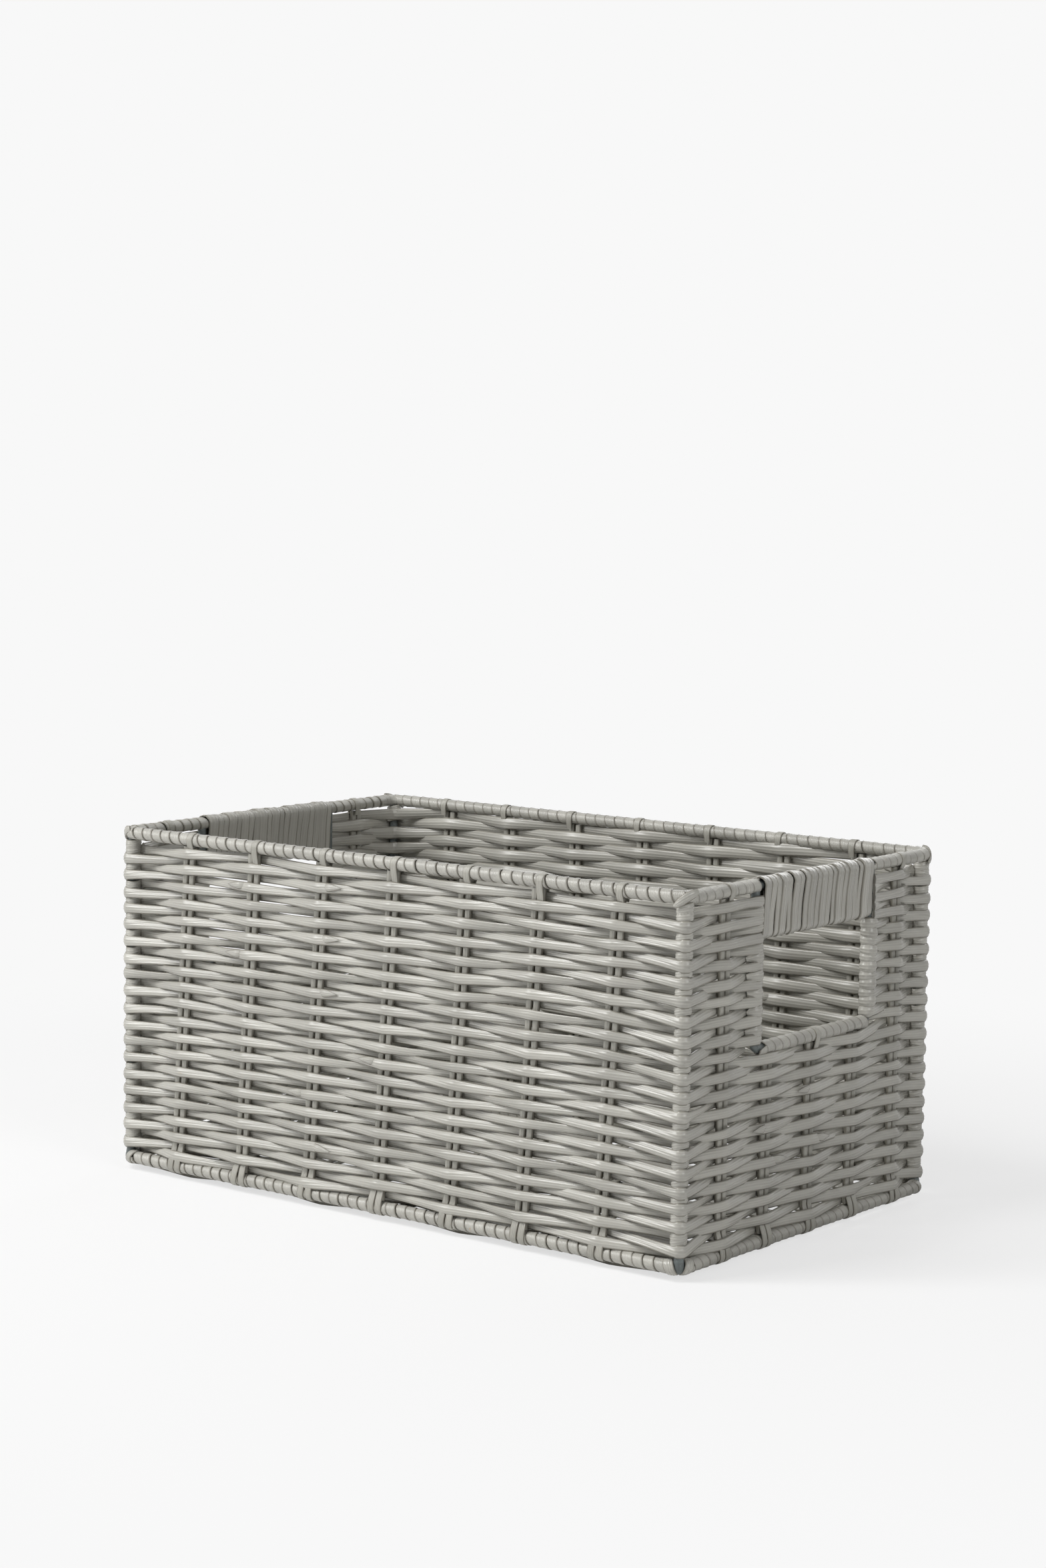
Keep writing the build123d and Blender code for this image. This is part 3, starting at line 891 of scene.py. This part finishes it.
def level_seam(line):
    """Brings a ring's last points to the height of its first, where they meet."""
    gap = line.points[0].z - line.points[-1].z
    count = 14
    for step in range(1, count + 1):
        line.points[step - count - 1].z += gap * smoothed(step / count)


def split_row(i, front, wander):
    """A row of one long wall, with a stretch of each end wall as far as the hand holes' posts."""
    before, after = (front - 1) % 4, (front + 1) % 4
    line = Line(UP, shade=wander.draws.random())
    start, side = hole_end(i, 1)
    if side:
        tail = Line(UP)
        tail.go(place_on(before, start[0], start[1], row_z[i]))
        hook(tail, before, start[0], side, -1, wander)
        for point, full in list(zip(tail.points, tail.fulls))[:0:-1]:
            line.go(point, full=full)
    outer = sum(1 for y in end_stakes if y >= hole_y)
    stations = [start, *wall_stations(i, before, END_PAIRS - outer), corner_station(i, before, 1)]
    run_of(line, before, i, stations, wander, END_STEPS)
    round_corner(line, i, before)
    stations = [corner_station(i, front, -1), *wall_stations(i, front), corner_station(i, front, 1)]
    run_of(line, front, i, stations, wander, LONG_STEPS)
    round_corner(line, i, front)
    end, side = hole_end(i, -1)
    stations = [corner_station(i, after, -1), *wall_stations(i, after, 0, outer), end]
    run_of(line, after, i, stations, wander, END_STEPS)
    if side:
        hook(line, after, end[0], side, 1, wander)
    return line


def row_lines(i, wander):
    """Row i, in one length or in two."""
    if i >= first_ring:
        return [ring_row(i, wander)]
    return [split_row(i, FRONT, wander), split_row(i, BACK, wander)]


def weave_walls():
    """All the rows, in pieces of five courses; a course is two rows, and the top one a single row."""
    inputs = weaver_inputs(finish_of("Painted Peel"))
    courses_in_piece = 5
    for start in range(0, len(course_nodes), courses_in_piece):
        nodes = course_nodes[start : start + courses_in_piece]
        lines = []
        for course in range(start, start + len(nodes)):
            for i in range(max(2 * course - 1, 0), 2 * course + 1):
                lines += row_lines(i, Wander(sizes().seed * 1000 + i))
        piece = lay(f"weave_{start // courses_in_piece + 1}", lines, geometry_tree("Strand"), inputs)
        settle(piece, nodes)


def turn_posts():
    """The full turns that every other row takes round the corner posts, seen between the rows that pass
    outside. Under the rim, and above the base where the rows lie further apart, there are two."""
    draws = random.Random(sizes().seed + 11)
    radius = wire_r + 1.25 * MM
    inward = 0.5 * MM  # a turn pulls in towards the basket's middle
    steps = 16
    lines = []
    for i in range(0, row_count - 1, 2):
        between = (press(i - 1, FRONT, post_x) + press(i + 1, FRONT, post_x)) / 2
        heights = [row_z[i] + between]
        if i == 0:
            heights = [rim_z - bound_r - 2.3 * MM, rim_z - bound_r - 6.4 * MM]
        elif i >= row_count - 5:
            heights = [heights[0] + 1.4 * MM, heights[0] - 1.4 * MM]
        for side in (-1, 1):
            for hand in (-1, 1):
                centre = Vector((side * (post_x - inward), hand * (post_y - inward), 0))
                settled = wave(centre, i) if i else 0.0
                for z in heights:
                    ring = Line(UP, closed=True, shade=draws.random())
                    slant = draws.uniform(0.1, 0.34)
                    # how far round the post it is highest
                    highest = draws.uniform(0, 0.6) if side * hand < 0 else draws.uniform(1.2, 2.0)
                    for step in range(steps):
                        angle = tau * step / steps
                        arm = Vector((cos(angle), sin(angle), slant * cos(angle - highest)))
                        ring.go(centre + UP * (z + settled) + arm * radius)
                    lines.append(ring)
    for wall in range(4):
        for side in (-1, 1):
            lines.append(corner_collar(wall, side, draws.random()))
    width, thickness, ribs, depth = 5.5 * MM, 1.7 * MM, 4, 0.2 * MM
    inputs = strip(finish_of("Painted Peel"), width, thickness, ribs, depth, edge=0.35, crown=3.0)
    settle(lay("post_turns", lines, geometry_tree("Strand"), inputs), [])


def corner_collar(wall, side, shade):
    """The last turn round the base wire on one side of a corner. The two of a corner meet under the wire
    and part above it, so the foot of the post shows between them as a dark oval."""
    centre, start, end = hoop_corner(wall, base_z)
    angle = radians(45 + side * 27)  # to one side of the middle of the corner's bend
    arm = spoke(start, end, angle)
    forward = end * cos(angle) - start * sin(angle)
    collar = Line(arm.cross(UP), closed=True, shade=shade)
    radius = wire_r + 0.95 * MM
    steps = 16
    for step in range(steps):
        turn = tau * step / steps
        leaning_away = side * 1.3 * MM * sin(turn)  # apart above the wire, together under it
        around = arm * (corner_bend_r + radius * cos(turn)) + UP * radius * sin(turn)
        collar.go(centre + around + forward * leaning_away)
    return collar


# ---- reeds ----
loop_r = bound_r + 0.15 * MM  # from a wire's axis to the middle of a reed that loops over its winding


def loop_points(long_leg, top_z):
    """The end of a reed pressed flat over the bound wire above it: from inside the wall, over, and down
    outside, as how far out and how high. Its leg outside is long or short."""
    tip = [(0.9 * MM - loop_r, top_z - 6.0 * MM), (-loop_r, top_z - 2.0 * MM)]
    over = [(-loop_r * cos(radians(a)), top_z + loop_r * sin(radians(a))) for a in range(0, 181, 18)]
    # the leg: how far out, and how far down in millimetres
    if long_leg:
        leg = [(loop_r - 0.6 * MM, 3.5), (1.9 * MM, 8.0), (1.2 * MM, 13.0)]
    else:
        leg = [(loop_r - 0.8 * MM, 3.0), (1.7 * MM, 5.6)]
    return [*tip, *over, *((d, top_z - drop * MM) for d, drop in leg)]


def foot_points():
    """A reed's turn round the outside of the base's bound wire, pressed flat, down to the basket's
    floor, as how far out and how high."""
    turn = [(loop_r * cos(radians(a)), base_z - loop_r * sin(radians(a))) for a in range(0, 91, 15)]
    slope = ((0.2, 15), (0.7, 11.5), (1.5, 8.5), (2.6, 5.8), (3.5, 3.0))
    return [*((d * MM, base_z + rise * MM) for d, rise in slope), *turn]


def on_wall(wall, place, shift, points, splay=0.0):
    """Places of points given as how far out and how high, by a stake of a wall. Its feet splay to the
    sides over the last few millimetres above the base."""
    splay_from, splay_over = base_z + 9 * MM, 11 * MM
    found = []
    for d, z in points:
        low = min(max((splay_from - z) / splay_over, 0.0), 1.0)
        s = place + leaning(wall, place, z) + shift + splay * low
        found.append(place_on(wall, s, d, z))
    return found


def reed_line(wall, points, shade):
    """A flattened reed along points, thinner at its first end."""
    line = Line(WALLS[wall].along, shade=shade)
    for n, point in enumerate(points):
        line.go(point, full=min(0.8 + 0.1 * n, 1.0))
    return line


def shaft_line(wall, place, shift, top_z, shade):
    """An upright reed, from under the bound wire at its top to just above the base."""
    steps = 14
    low = base_z + 4.2 * MM  # its foot shows as a flattened reed from here down
    high = top_z - bound_r - 0.2 * MM
    points = [(0.0, low + (high - low) * step / steps) for step in range(steps + 1)]
    line = Line(WALLS[wall].along, shade=shade)
    for point in on_wall(wall, place, shift, points):
        line.go(point)
    return line


def stand_reeds():
    """Pairs of upright reeds, the flat ends that loop over the wires, and the lengths that cross the
    floor."""
    finish = finish_of("Painted Reed")
    tree = geometry_tree("Strand")
    draws = random.Random(sizes().seed + 23)
    spread = sizes().reed_width / 2 + 0.4 * MM  # from the middle of a pair to the middle of each
    bands = []
    shafts = {node: [] for node in (*cross_nodes, "end_stakes_left", "end_stakes_right")}
    for wall, side in enumerate(WALLS):
        for k, place in enumerate(side.stakes):
            under_hole = wall in (RIGHT, LEFT) and abs(place) < hole_y
            top_z = sill_z if under_hole else rim_z
            if wall in (RIGHT, LEFT):
                node = "end_stakes_right" if wall == RIGHT else "end_stakes_left"
            else:
                node = cross_nodes[k if wall == FRONT else len(cross_nodes) - 1 - k]
            for hand in (-1, 1):
                shafts[node].append(shaft_line(wall, place, hand * spread, top_z, draws.random()))
                splay = hand * draws.uniform(-0.1, 0.7) * MM
                foot = on_wall(wall, place, hand * spread, foot_points(), splay)
                if wall == FRONT:
                    foot += on_wall(BACK, -place, -hand * spread, foot_points(), -splay)[::-1]
                elif wall == BACK:
                    continue
                else:
                    foot.append(foot[-1] - side.out * 5 * MM)  # it ends under the floor
                bands.append(reed_line(wall, foot, draws.random()).smooth())
            if not under_hole or k == END_PAIRS // 2:
                long_leg = k % 2 == 1 or under_hole
                points = on_wall(wall, place, spread, loop_points(long_leg, top_z))
                bands.append(reed_line(wall, points, draws.random()).smooth())
    for node, lines in shafts.items():
        name = node.replace("cross_stakes", "reeds").replace("end_stakes", "end_reeds")
        settle(lay(name, lines, tree, reed_inputs(finish)), [node])
    width = sizes().reed_width * 1.14  # pressing it flat makes it wider
    ribs = 4
    inputs = strip(finish, width, sizes().band_thickness, ribs, depth=0.09 * MM, edge=0.5, crown=4.0)
    settle(lay("reed_bands", bands, tree, inputs), [])


# ---- base ----
floor_reed_z = base_z - loop_r  # the reeds that cross the floor


def weave_base():
    """Lengthwise peel in bands of three, over and under the reeds that cross the floor."""
    wander = Wander(sizes().seed + 37)
    thickness = sizes().weaver_thickness
    low = thickness / 2 + 0.02 * MM
    high = floor_reed_z + (sizes().band_thickness / 2 + thickness / 2 + 0.1 * MM)
    peels = BASE_BANDS * PEELS_IN_BAND
    width = (base_high.y - base_low.y) / peels
    steps = 8
    lines = []
    for n in range(peels):
        band = (n + 2) // PEELS_IN_BAND
        y = base_low.y + (n + 0.5) * width
        line = Line(Vector((0, 1, 0)), shade=wander.draws.random())
        stations = [(base_low.x, floor_reed_z)]
        for k, x in enumerate(long_stakes):
            stations.append((x + wander.draws.uniform(-1, 1) * MM, high if (k + band) % 2 else low))
        stations.append((base_high.x, floor_reed_z))
        for (x0, z0), (x1, z1) in zip(stations, stations[1:]):
            for step in range(steps):
                share = step / steps
                line.go((x0 + (x1 - x0) * share, y, z0 + (z1 - z0) * eased(share)))
        line.go((stations[-1][0], y, stations[-1][1]))
        lines.append(line)
    ribs = 4
    finish = finish_of("Painted Peel")
    inputs = strip(finish, width - 0.1 * MM, thickness, ribs, sizes().rib_depth, edge=0.4, crown=3.0)
    settle(lay("base_peels", lines, geometry_tree("Strand"), inputs), ["base_weave"])


# ---- windings ----
def winding_inputs(pitch, seed):
    """A winding tree's inputs for peel as wide as its pitch, with a narrow gap between the turns."""
    thickness = sizes().winding_thickness
    depth = sizes().rib_depth * 0.75
    ribs = 7
    return {
        **strip(finish_of("Wound Peel"), pitch * 0.95, thickness, ribs, depth, edge=0.6, crown=5.0),
        "Coil Radius": wire_r + thickness / 2 + 0.02 * MM,
        "Pitch": pitch,
        "Steps": 14,
        "Looseness": 0.3 * MM,
        "Lap": -0.06,
        "Seed": seed,
    }


def wind_rim():
    """Two windings along the rim, each from one grip round a long wall to the other grip."""
    pitch = sizes().rim_pitch
    end = hole_y - 2.4 * MM  # just past the hand hole's post
    lines = []
    for front in (FRONT, BACK):
        before, after = (front - 1) % 4, (front + 1) % 4
        line = Line(UP)
        line.go(place_on(before, end, 0.0, rim_z))
        for wall in (before, front):
            centre, out, along = hoop_corner(wall, rim_z)
            for point in quarter(centre, out, along, corner_bend_r, ends=True):
                line.go(point)
        line.go(place_on(after, -end, 0.0, rim_z))
        lines.append(line.count_turns(pitch))
    piece = lay("rim_winding", lines, geometry_tree("Winding"), winding_inputs(pitch, 3))
    settle(piece, ["rim_binding"])


def wind_base():
    """Four windings, one to each side of the base; the wire shows bare between them at the corners."""
    pitch = sizes().base_pitch
    bare = radians(32)  # to each side of the middle of a corner's bend
    wound = pi / 4 - bare
    steps = 4
    lines = []
    for wall in range(4):
        line = Line(UP)
        for corner, first in ((wall - 1, pi / 4 + bare), (wall, 0.0)):
            centre, out, along = hoop_corner(corner % 4, base_z)
            for step in range(steps + 1):
                line.go(centre + spoke(out, along, first + wound * step / steps) * corner_bend_r)
        lines.append(line.count_turns(pitch))
    piece = lay("base_winding", lines, geometry_tree("Winding"), winding_inputs(pitch, 5))
    settle(piece, ["base_binding"])


def wind_sills():
    """A winding along each hand hole's sill."""
    pitch = sizes().rim_pitch
    for side, name in ((-1, "left"), (1, "right")):
        line = Line(UP)
        line.go((side * rim_x, -(hole_y - opening_bend_r), sill_z))
        line.go((side * rim_x, hole_y - opening_bend_r, sill_z))
        inputs = winding_inputs(pitch, 8 + side)
        piece = lay(f"sill_winding_{name}", [line.count_turns(pitch)], geometry_tree("Winding"), inputs)
        settle(piece, [f"sill_binding_{name}"])


def wrap_grips():
    """Peel wound side by side round the rim wire and the lower bar together. Each turn leans, stands up
    along one edge where it crosses the last, and pulls in to its own width, so a dark line shows between
    every two. Two turns in five are broader and lie over their neighbours; the last few are a little
    broader too."""
    draws = random.Random(sizes().seed + 53)
    turns = 20
    run = hole_y - 2.6 * MM
    drop = rim_z - grip_z
    bends = [pi * t / 8 for t in range(9)]
    straights = [drop * t / 5 for t in range(1, 5)]
    ribs = 3
    width = 2 * run / turns + 0.15 * MM
    inputs = strip(finish_of("Wound Peel"), width, 1.2 * MM, ribs, depth=0.06 * MM, edge=0.45, crown=3.0)
    for side, name in ((-1, "left"), (1, "right")):
        lines = []
        for n in range(turns):
            y = -run + (n + 0.5) * 2 * run / turns + draws.uniform(-0.2, 0.2) * MM
            ring = Line(Vector((0, 1, 0)), closed=True, shade=draws.random())
            radius = bound_r + draws.uniform(-0.2, 0.3) * MM
            lap = radians(draws.uniform(2, 6)) * side  # how far it stands up along one edge
            slant = draws.uniform(1.8, 3.6) * MM  # how far it leans from the bar to the rim
            phase = draws.uniform(0, tau)  # where it bows sideways
            full = draws.uniform(0.9, 1.03) + (0.1 if n > 0.75 * turns else 0.0)
            if n % 5 in (0, 3):
                full *= 1.35
                radius += 0.25 * MM
            places = [(radius * cos(angle), radius * sin(angle) + rim_z) for angle in bends]
            places += [(-radius, rim_z - down) for down in straights]
            places += [(-radius * cos(angle), -radius * sin(angle) + grip_z) for angle in bends]
            places += [(radius, grip_z + up) for up in straights]
            for d, z in places:
                outer = 1.0 if d > 0 else -1.0
                share = min(max((z - grip_z) / drop, 0), 1)
                lean = slant * (share - 0.5) * (d / radius)
                bow = 0.35 * MM * sin(phase + 4 * share)
                pull = 0.3 * MM * sin(pi * share)
                reach = d - pull * outer
                ring.go((side * (rim_x + reach), y + side * (lean + bow), z), -lap * outer, full)
            lines.append(ring)
        piece = lay(f"grip_peel_{name}", lines, geometry_tree("Strand"), inputs)
        settle(piece, [f"grip_wrap_{name}"])


def cut_end(wall, inside, draws):
    """The end of a length of peel on a reed, cut on a slant and standing a little proud of its row."""
    side = WALLS[wall]
    k = draws.randrange(1, len(side.stakes) - 1)
    i = draws.randrange(2 if wall in (FRONT, BACK) else first_ring + 2, row_count - 3)
    if (i + k) % 2 != (1 if inside else 0):
        i += 1
    facing = -1 if inside else 1
    way = draws.choice((-1, 1))
    line = Line(UP * way * facing, shade=draws.random())
    s = side.stakes[k] + leaning(wall, side.stakes[k], row_z[i])
    rise = draws.uniform(-0.5, 0.5)
    seat = end_seat if wall in (RIGHT, LEFT) else long_seat
    # how proud of the row it lies, in mm, and how full it is, from where it leaves the row to the cut
    slant = ((-2.2, 0.3), (-0.3, 0.65), (0.8, 0.8), (0.6, 0.66), (0.5, 0.4), (0.3, 0.1))
    for t, (proud, full) in enumerate(slant):
        place = place_on(wall, s + way * (1.5 + 3.0 * t) * MM, facing * (seat + proud * MM), 0.0)
        z = row_z[i] + press(i, wall, s) + wave(place, i) + (0.7 + rise * t * 0.5) * MM
        line.go(place + UP * z, radians(draws.uniform(-4, 12)), full)
    return line.smooth()


def winding_tip(wall, shade):
    """The end of the rim's winding at a wall's corner: a tip that crosses over the post's top turns."""
    centre, start, end = hoop_corner(wall, rim_z)
    tip = Line(-UP, shade=shade)
    reach = corner_bend_r + bound_r + 0.3 * MM
    for degrees, height, proud, full in (
        # how far round the bend, how high and how proud of the winding in mm, and how full
        (78, 2.8, -0.8, 0.6),
        (62, 2.0, -0.2, 0.8),
        (45, 0.4, 0.0, 0.85),
        (30, -1.9, 0.0, 0.8),
        (20, -3.4, -0.2, 0.6),
        (12, -4.4, -0.5, 0.3),
    ):
        arm = spoke(start, end, radians(degrees))
        tip.go(centre + arm * (reach + proud * MM) + UP * height * MM, full=full)
    return tip.smooth()


def leave_ends():
    """Ends of peel where one length stops and the next begins, and a tip of the rim's winding at each
    corner. Every other end of the back wall shows on its inside."""
    draws = random.Random(sizes().seed + 71)
    lines = []
    for wall in range(4):
        for n in range(8 if wall in (FRONT, BACK) else 4):
            lines.append(cut_end(wall, wall == BACK and n % 2, draws))
        lines.append(winding_tip(wall, draws.random()))
    inputs = weaver_inputs(finish_of("Painted Peel"))
    settle(lay("cut_ends", lines, geometry_tree("Strand"), inputs), [])


# ---- stage ----
def lay_paper(colour):
    """Seamless studio paper. It takes the basket's shadow near by, and shows as plain paper further
    off."""
    half = 6.0
    mesh = bpy.data.meshes.new("floor")
    corners = [(-half, -half, 0.0), (half, -half, 0.0), (half, half, 0.0), (-half, half, 0.0)]
    mesh.from_pydata(corners, [], [(0, 1, 2, 3)])
    floor = bpy.data.objects.new("floor", mesh)
    bpy.context.scene.collection.objects.link(floor)
    finish, output = new_finish("Studio Paper")
    tree = finish.node_tree
    place = add(tree, "ShaderNodeTexCoord").outputs["Object"]
    away = add(tree, "ShaderNodeVectorMath", {0: place}, operation="LENGTH").outputs["Value"]
    links = {"Value": away, "From Min": 0.2, "From Max": 0.75, "To Min": 0.72, "To Max": 1.0}
    even = add(tree, "ShaderNodeMapRange", links, interpolation_type="SMOOTHSTEP")
    rays = add(tree, "ShaderNodeLightPath").outputs
    share = add(tree, "ShaderNodeMath", {0: even, 1: rays["Is Camera Ray"]}, operation="MULTIPLY")
    lit = add(tree, "ShaderNodeBsdfDiffuse", {"Color": colour})
    plain = add(tree, "ShaderNodeEmission", {"Color": colour, "Strength": 1.0})
    paper = add(tree, "ShaderNodeMixShader", {0: share, 1: lit, 2: plain})
    tree.links.new(paper.outputs[0], output.inputs["Surface"])
    mesh.materials.append(finish)


def light_sky(colour, strength):
    """A dim even sky, which the camera, gloss and glass see as paper."""
    world = bpy.data.worlds.new("Studio")
    bpy.context.scene.world = world
    world.use_nodes = True
    tree = world.node_tree
    tree.nodes.clear()
    rays = add(tree, "ShaderNodeLightPath").outputs
    shown = rays["Is Camera Ray"]
    for kind in ("Is Glossy Ray", "Is Transmission Ray"):
        shown = add(tree, "ShaderNodeMath", {0: shown, 1: rays[kind]}, operation="MAXIMUM")
    paper = add(tree, "ShaderNodeBackground", {"Color": colour, "Strength": 1.0})
    light = add(tree, "ShaderNodeBackground", {"Color": (1.0, 1.0, 1.0, 1.0), "Strength": strength})
    mixed = add(tree, "ShaderNodeMixShader", {0: shown, 1: light, 2: paper})
    add(tree, "ShaderNodeOutputWorld", {"Surface": mixed})


def build_stage():
    """Paper, sky, four soft lights and the camera."""
    stage = bpy.context.scene.basket_stage
    paper = (*stage.floor, 1.0)
    lay_paper(paper)
    light_sky(paper, stage.world)
    # a light's place, its width and height, and its power
    add_light("tall_softbox", (-1.22, -1.4, 1.0), (0.42, 1.0), stage.key_power)
    add_light("overhead", (-0.5, -0.95, 1.6), (0.7, 0.7), stage.top_power)
    add_light("side", (1.9, -0.5, 1.1), (0.9, 0.9), stage.fill_power)
    add_light("rear", (-0.3, 2.0, 1.1), (1.2, 1.2), stage.rear_power)
    place_camera()
    bpy.context.scene.view_settings.view_transform = "Standard"


def add_light(name, place, size, power):
    """A soft light that looks at the middle of the basket."""
    lamp = bpy.data.lights.new(name, "AREA")
    lamp.shape = "RECTANGLE"
    lamp.size, lamp.size_y = size
    lamp.energy = power
    holder = bpy.data.objects.new(name, lamp)
    holder.location = place
    towards = Vector((0, 0, rim_z / 2)) - Vector(place)
    holder.rotation_euler = towards.to_track_quat("-Z", "Y").to_euler()
    bpy.context.scene.collection.objects.link(holder)


def place_camera():
    """A long lens a little above the rim, turned to show the front and the right-hand end."""
    azimuth, elevation, roll = radians(37.29), radians(5.98), radians(0.84)
    distance = 1.755
    shift, lift = 1.7 * MM, 126.9 * MM  # to the right, and up, so the basket stands low in the frame
    back = Vector((sin(azimuth) * cos(elevation), -cos(azimuth) * cos(elevation), sin(elevation)))
    level = UP.cross(back).normalized()
    upright = back.cross(level)
    right = level * cos(roll) + upright * sin(roll)
    up = upright * cos(roll) - level * sin(roll)
    place = Vector((0, 0, base_z + 95 * MM)) + back * distance + right * shift + up * lift
    camera = bpy.data.cameras.new("camera")
    camera.sensor_fit = "VERTICAL"
    camera.sensor_height = 36.0
    camera.lens = 70.62186
    camera.clip_end = 100  # beyond the far edge of the paper
    holder = bpy.data.objects.new("camera", camera)
    turned = Matrix((right, up, back)).transposed().to_4x4()
    holder.matrix_world = Matrix.Translation(place) @ turned
    bpy.context.scene.collection.objects.link(holder)
    bpy.context.scene.camera = holder


# ---- operators and panel ----
class BASKET_OT_wire_frame(bpy.types.Operator):
    """Bends the wires of the rim, the base, the posts and the hand holes"""

    bl_idname = "basket.wire_frame"
    bl_label = "Bend Wire Frame"

    def execute(self, context):
        bend_wires()
        return {"FINISHED"}


class BASKET_OT_base(bpy.types.Operator):
    """Weaves the floor of the basket"""

    bl_idname = "basket.base"
    bl_label = "Weave Base"

    def execute(self, context):
        weave_base()
        return {"FINISHED"}


class BASKET_OT_reeds(bpy.types.Operator):
    """Stands the pairs of reeds in the walls and loops their ends over the wires"""

    bl_idname = "basket.reeds"
    bl_label = "Stand Reeds"

    def execute(self, context):
        stand_reeds()
        return {"FINISHED"}


class BASKET_OT_walls(bpy.types.Operator):
    """Weaves the rows of the walls and their turns round the corner posts"""

    bl_idname = "basket.walls"
    bl_label = "Weave Walls"

    def execute(self, context):
        weave_walls()
        turn_posts()
        leave_ends()
        return {"FINISHED"}


class BASKET_OT_windings(bpy.types.Operator):
    """Winds peel round the wires of the rim, the base and the sills"""

    bl_idname = "basket.windings"
    bl_label = "Wind Rim, Base and Sills"

    def execute(self, context):
        wind_rim()
        wind_base()
        wind_sills()
        return {"FINISHED"}


class BASKET_OT_grips(bpy.types.Operator):
    """Wraps the two grips"""

    bl_idname = "basket.grips"
    bl_label = "Wrap Grips"

    def execute(self, context):
        wrap_grips()
        return {"FINISHED"}


class BASKET_OT_stage(bpy.types.Operator):
    """Sets up the floor, the lights and the camera"""

    bl_idname = "basket.stage"
    bl_label = "Set Stage"

    def execute(self, context):
        build_stage()
        return {"FINISHED"}


OPERATORS = (
    BASKET_OT_stage,
    BASKET_OT_wire_frame,
    BASKET_OT_base,
    BASKET_OT_reeds,
    BASKET_OT_walls,
    BASKET_OT_windings,
    BASKET_OT_grips,
)


SETTINGS = {"basket_sizes": BasketSizes, "basket_colours": BasketColours, "basket_stage": BasketStage}


class BASKET_PT_panel(bpy.types.Panel):
    bl_label = "Woven Basket"
    bl_idname = "BASKET_PT_panel"
    bl_space_type = "VIEW_3D"
    bl_region_type = "UI"
    bl_category = "Basket"

    def draw(self, context):
        for setting in SETTINGS:
            group = getattr(context.scene, setting)
            for name in group.__annotations__:
                self.layout.prop(group, name)
        for operator in OPERATORS:
            self.layout.operator(operator.bl_idname)


def register():
    for group in SETTINGS.values():
        bpy.utils.register_class(group)
    for name, group in SETTINGS.items():
        setattr(bpy.types.Scene, name, bpy.props.PointerProperty(type=group))
    for made in (*OPERATORS, BASKET_PT_panel):
        bpy.utils.register_class(made)


def unregister():
    for made in (BASKET_PT_panel, *reversed(OPERATORS)):
        bpy.utils.unregister_class(made)
    for name in SETTINGS:
        delattr(bpy.types.Scene, name)
    for group in SETTINGS.values():
        bpy.utils.unregister_class(group)


def main():
    register()
    bpy.ops.basket.stage()
    bpy.ops.basket.wire_frame()
    bpy.ops.basket.base()
    bpy.ops.basket.reeds()
    bpy.ops.basket.walls()
    bpy.ops.basket.windings()
    bpy.ops.basket.grips()


if __name__ == "__main__":
    main()
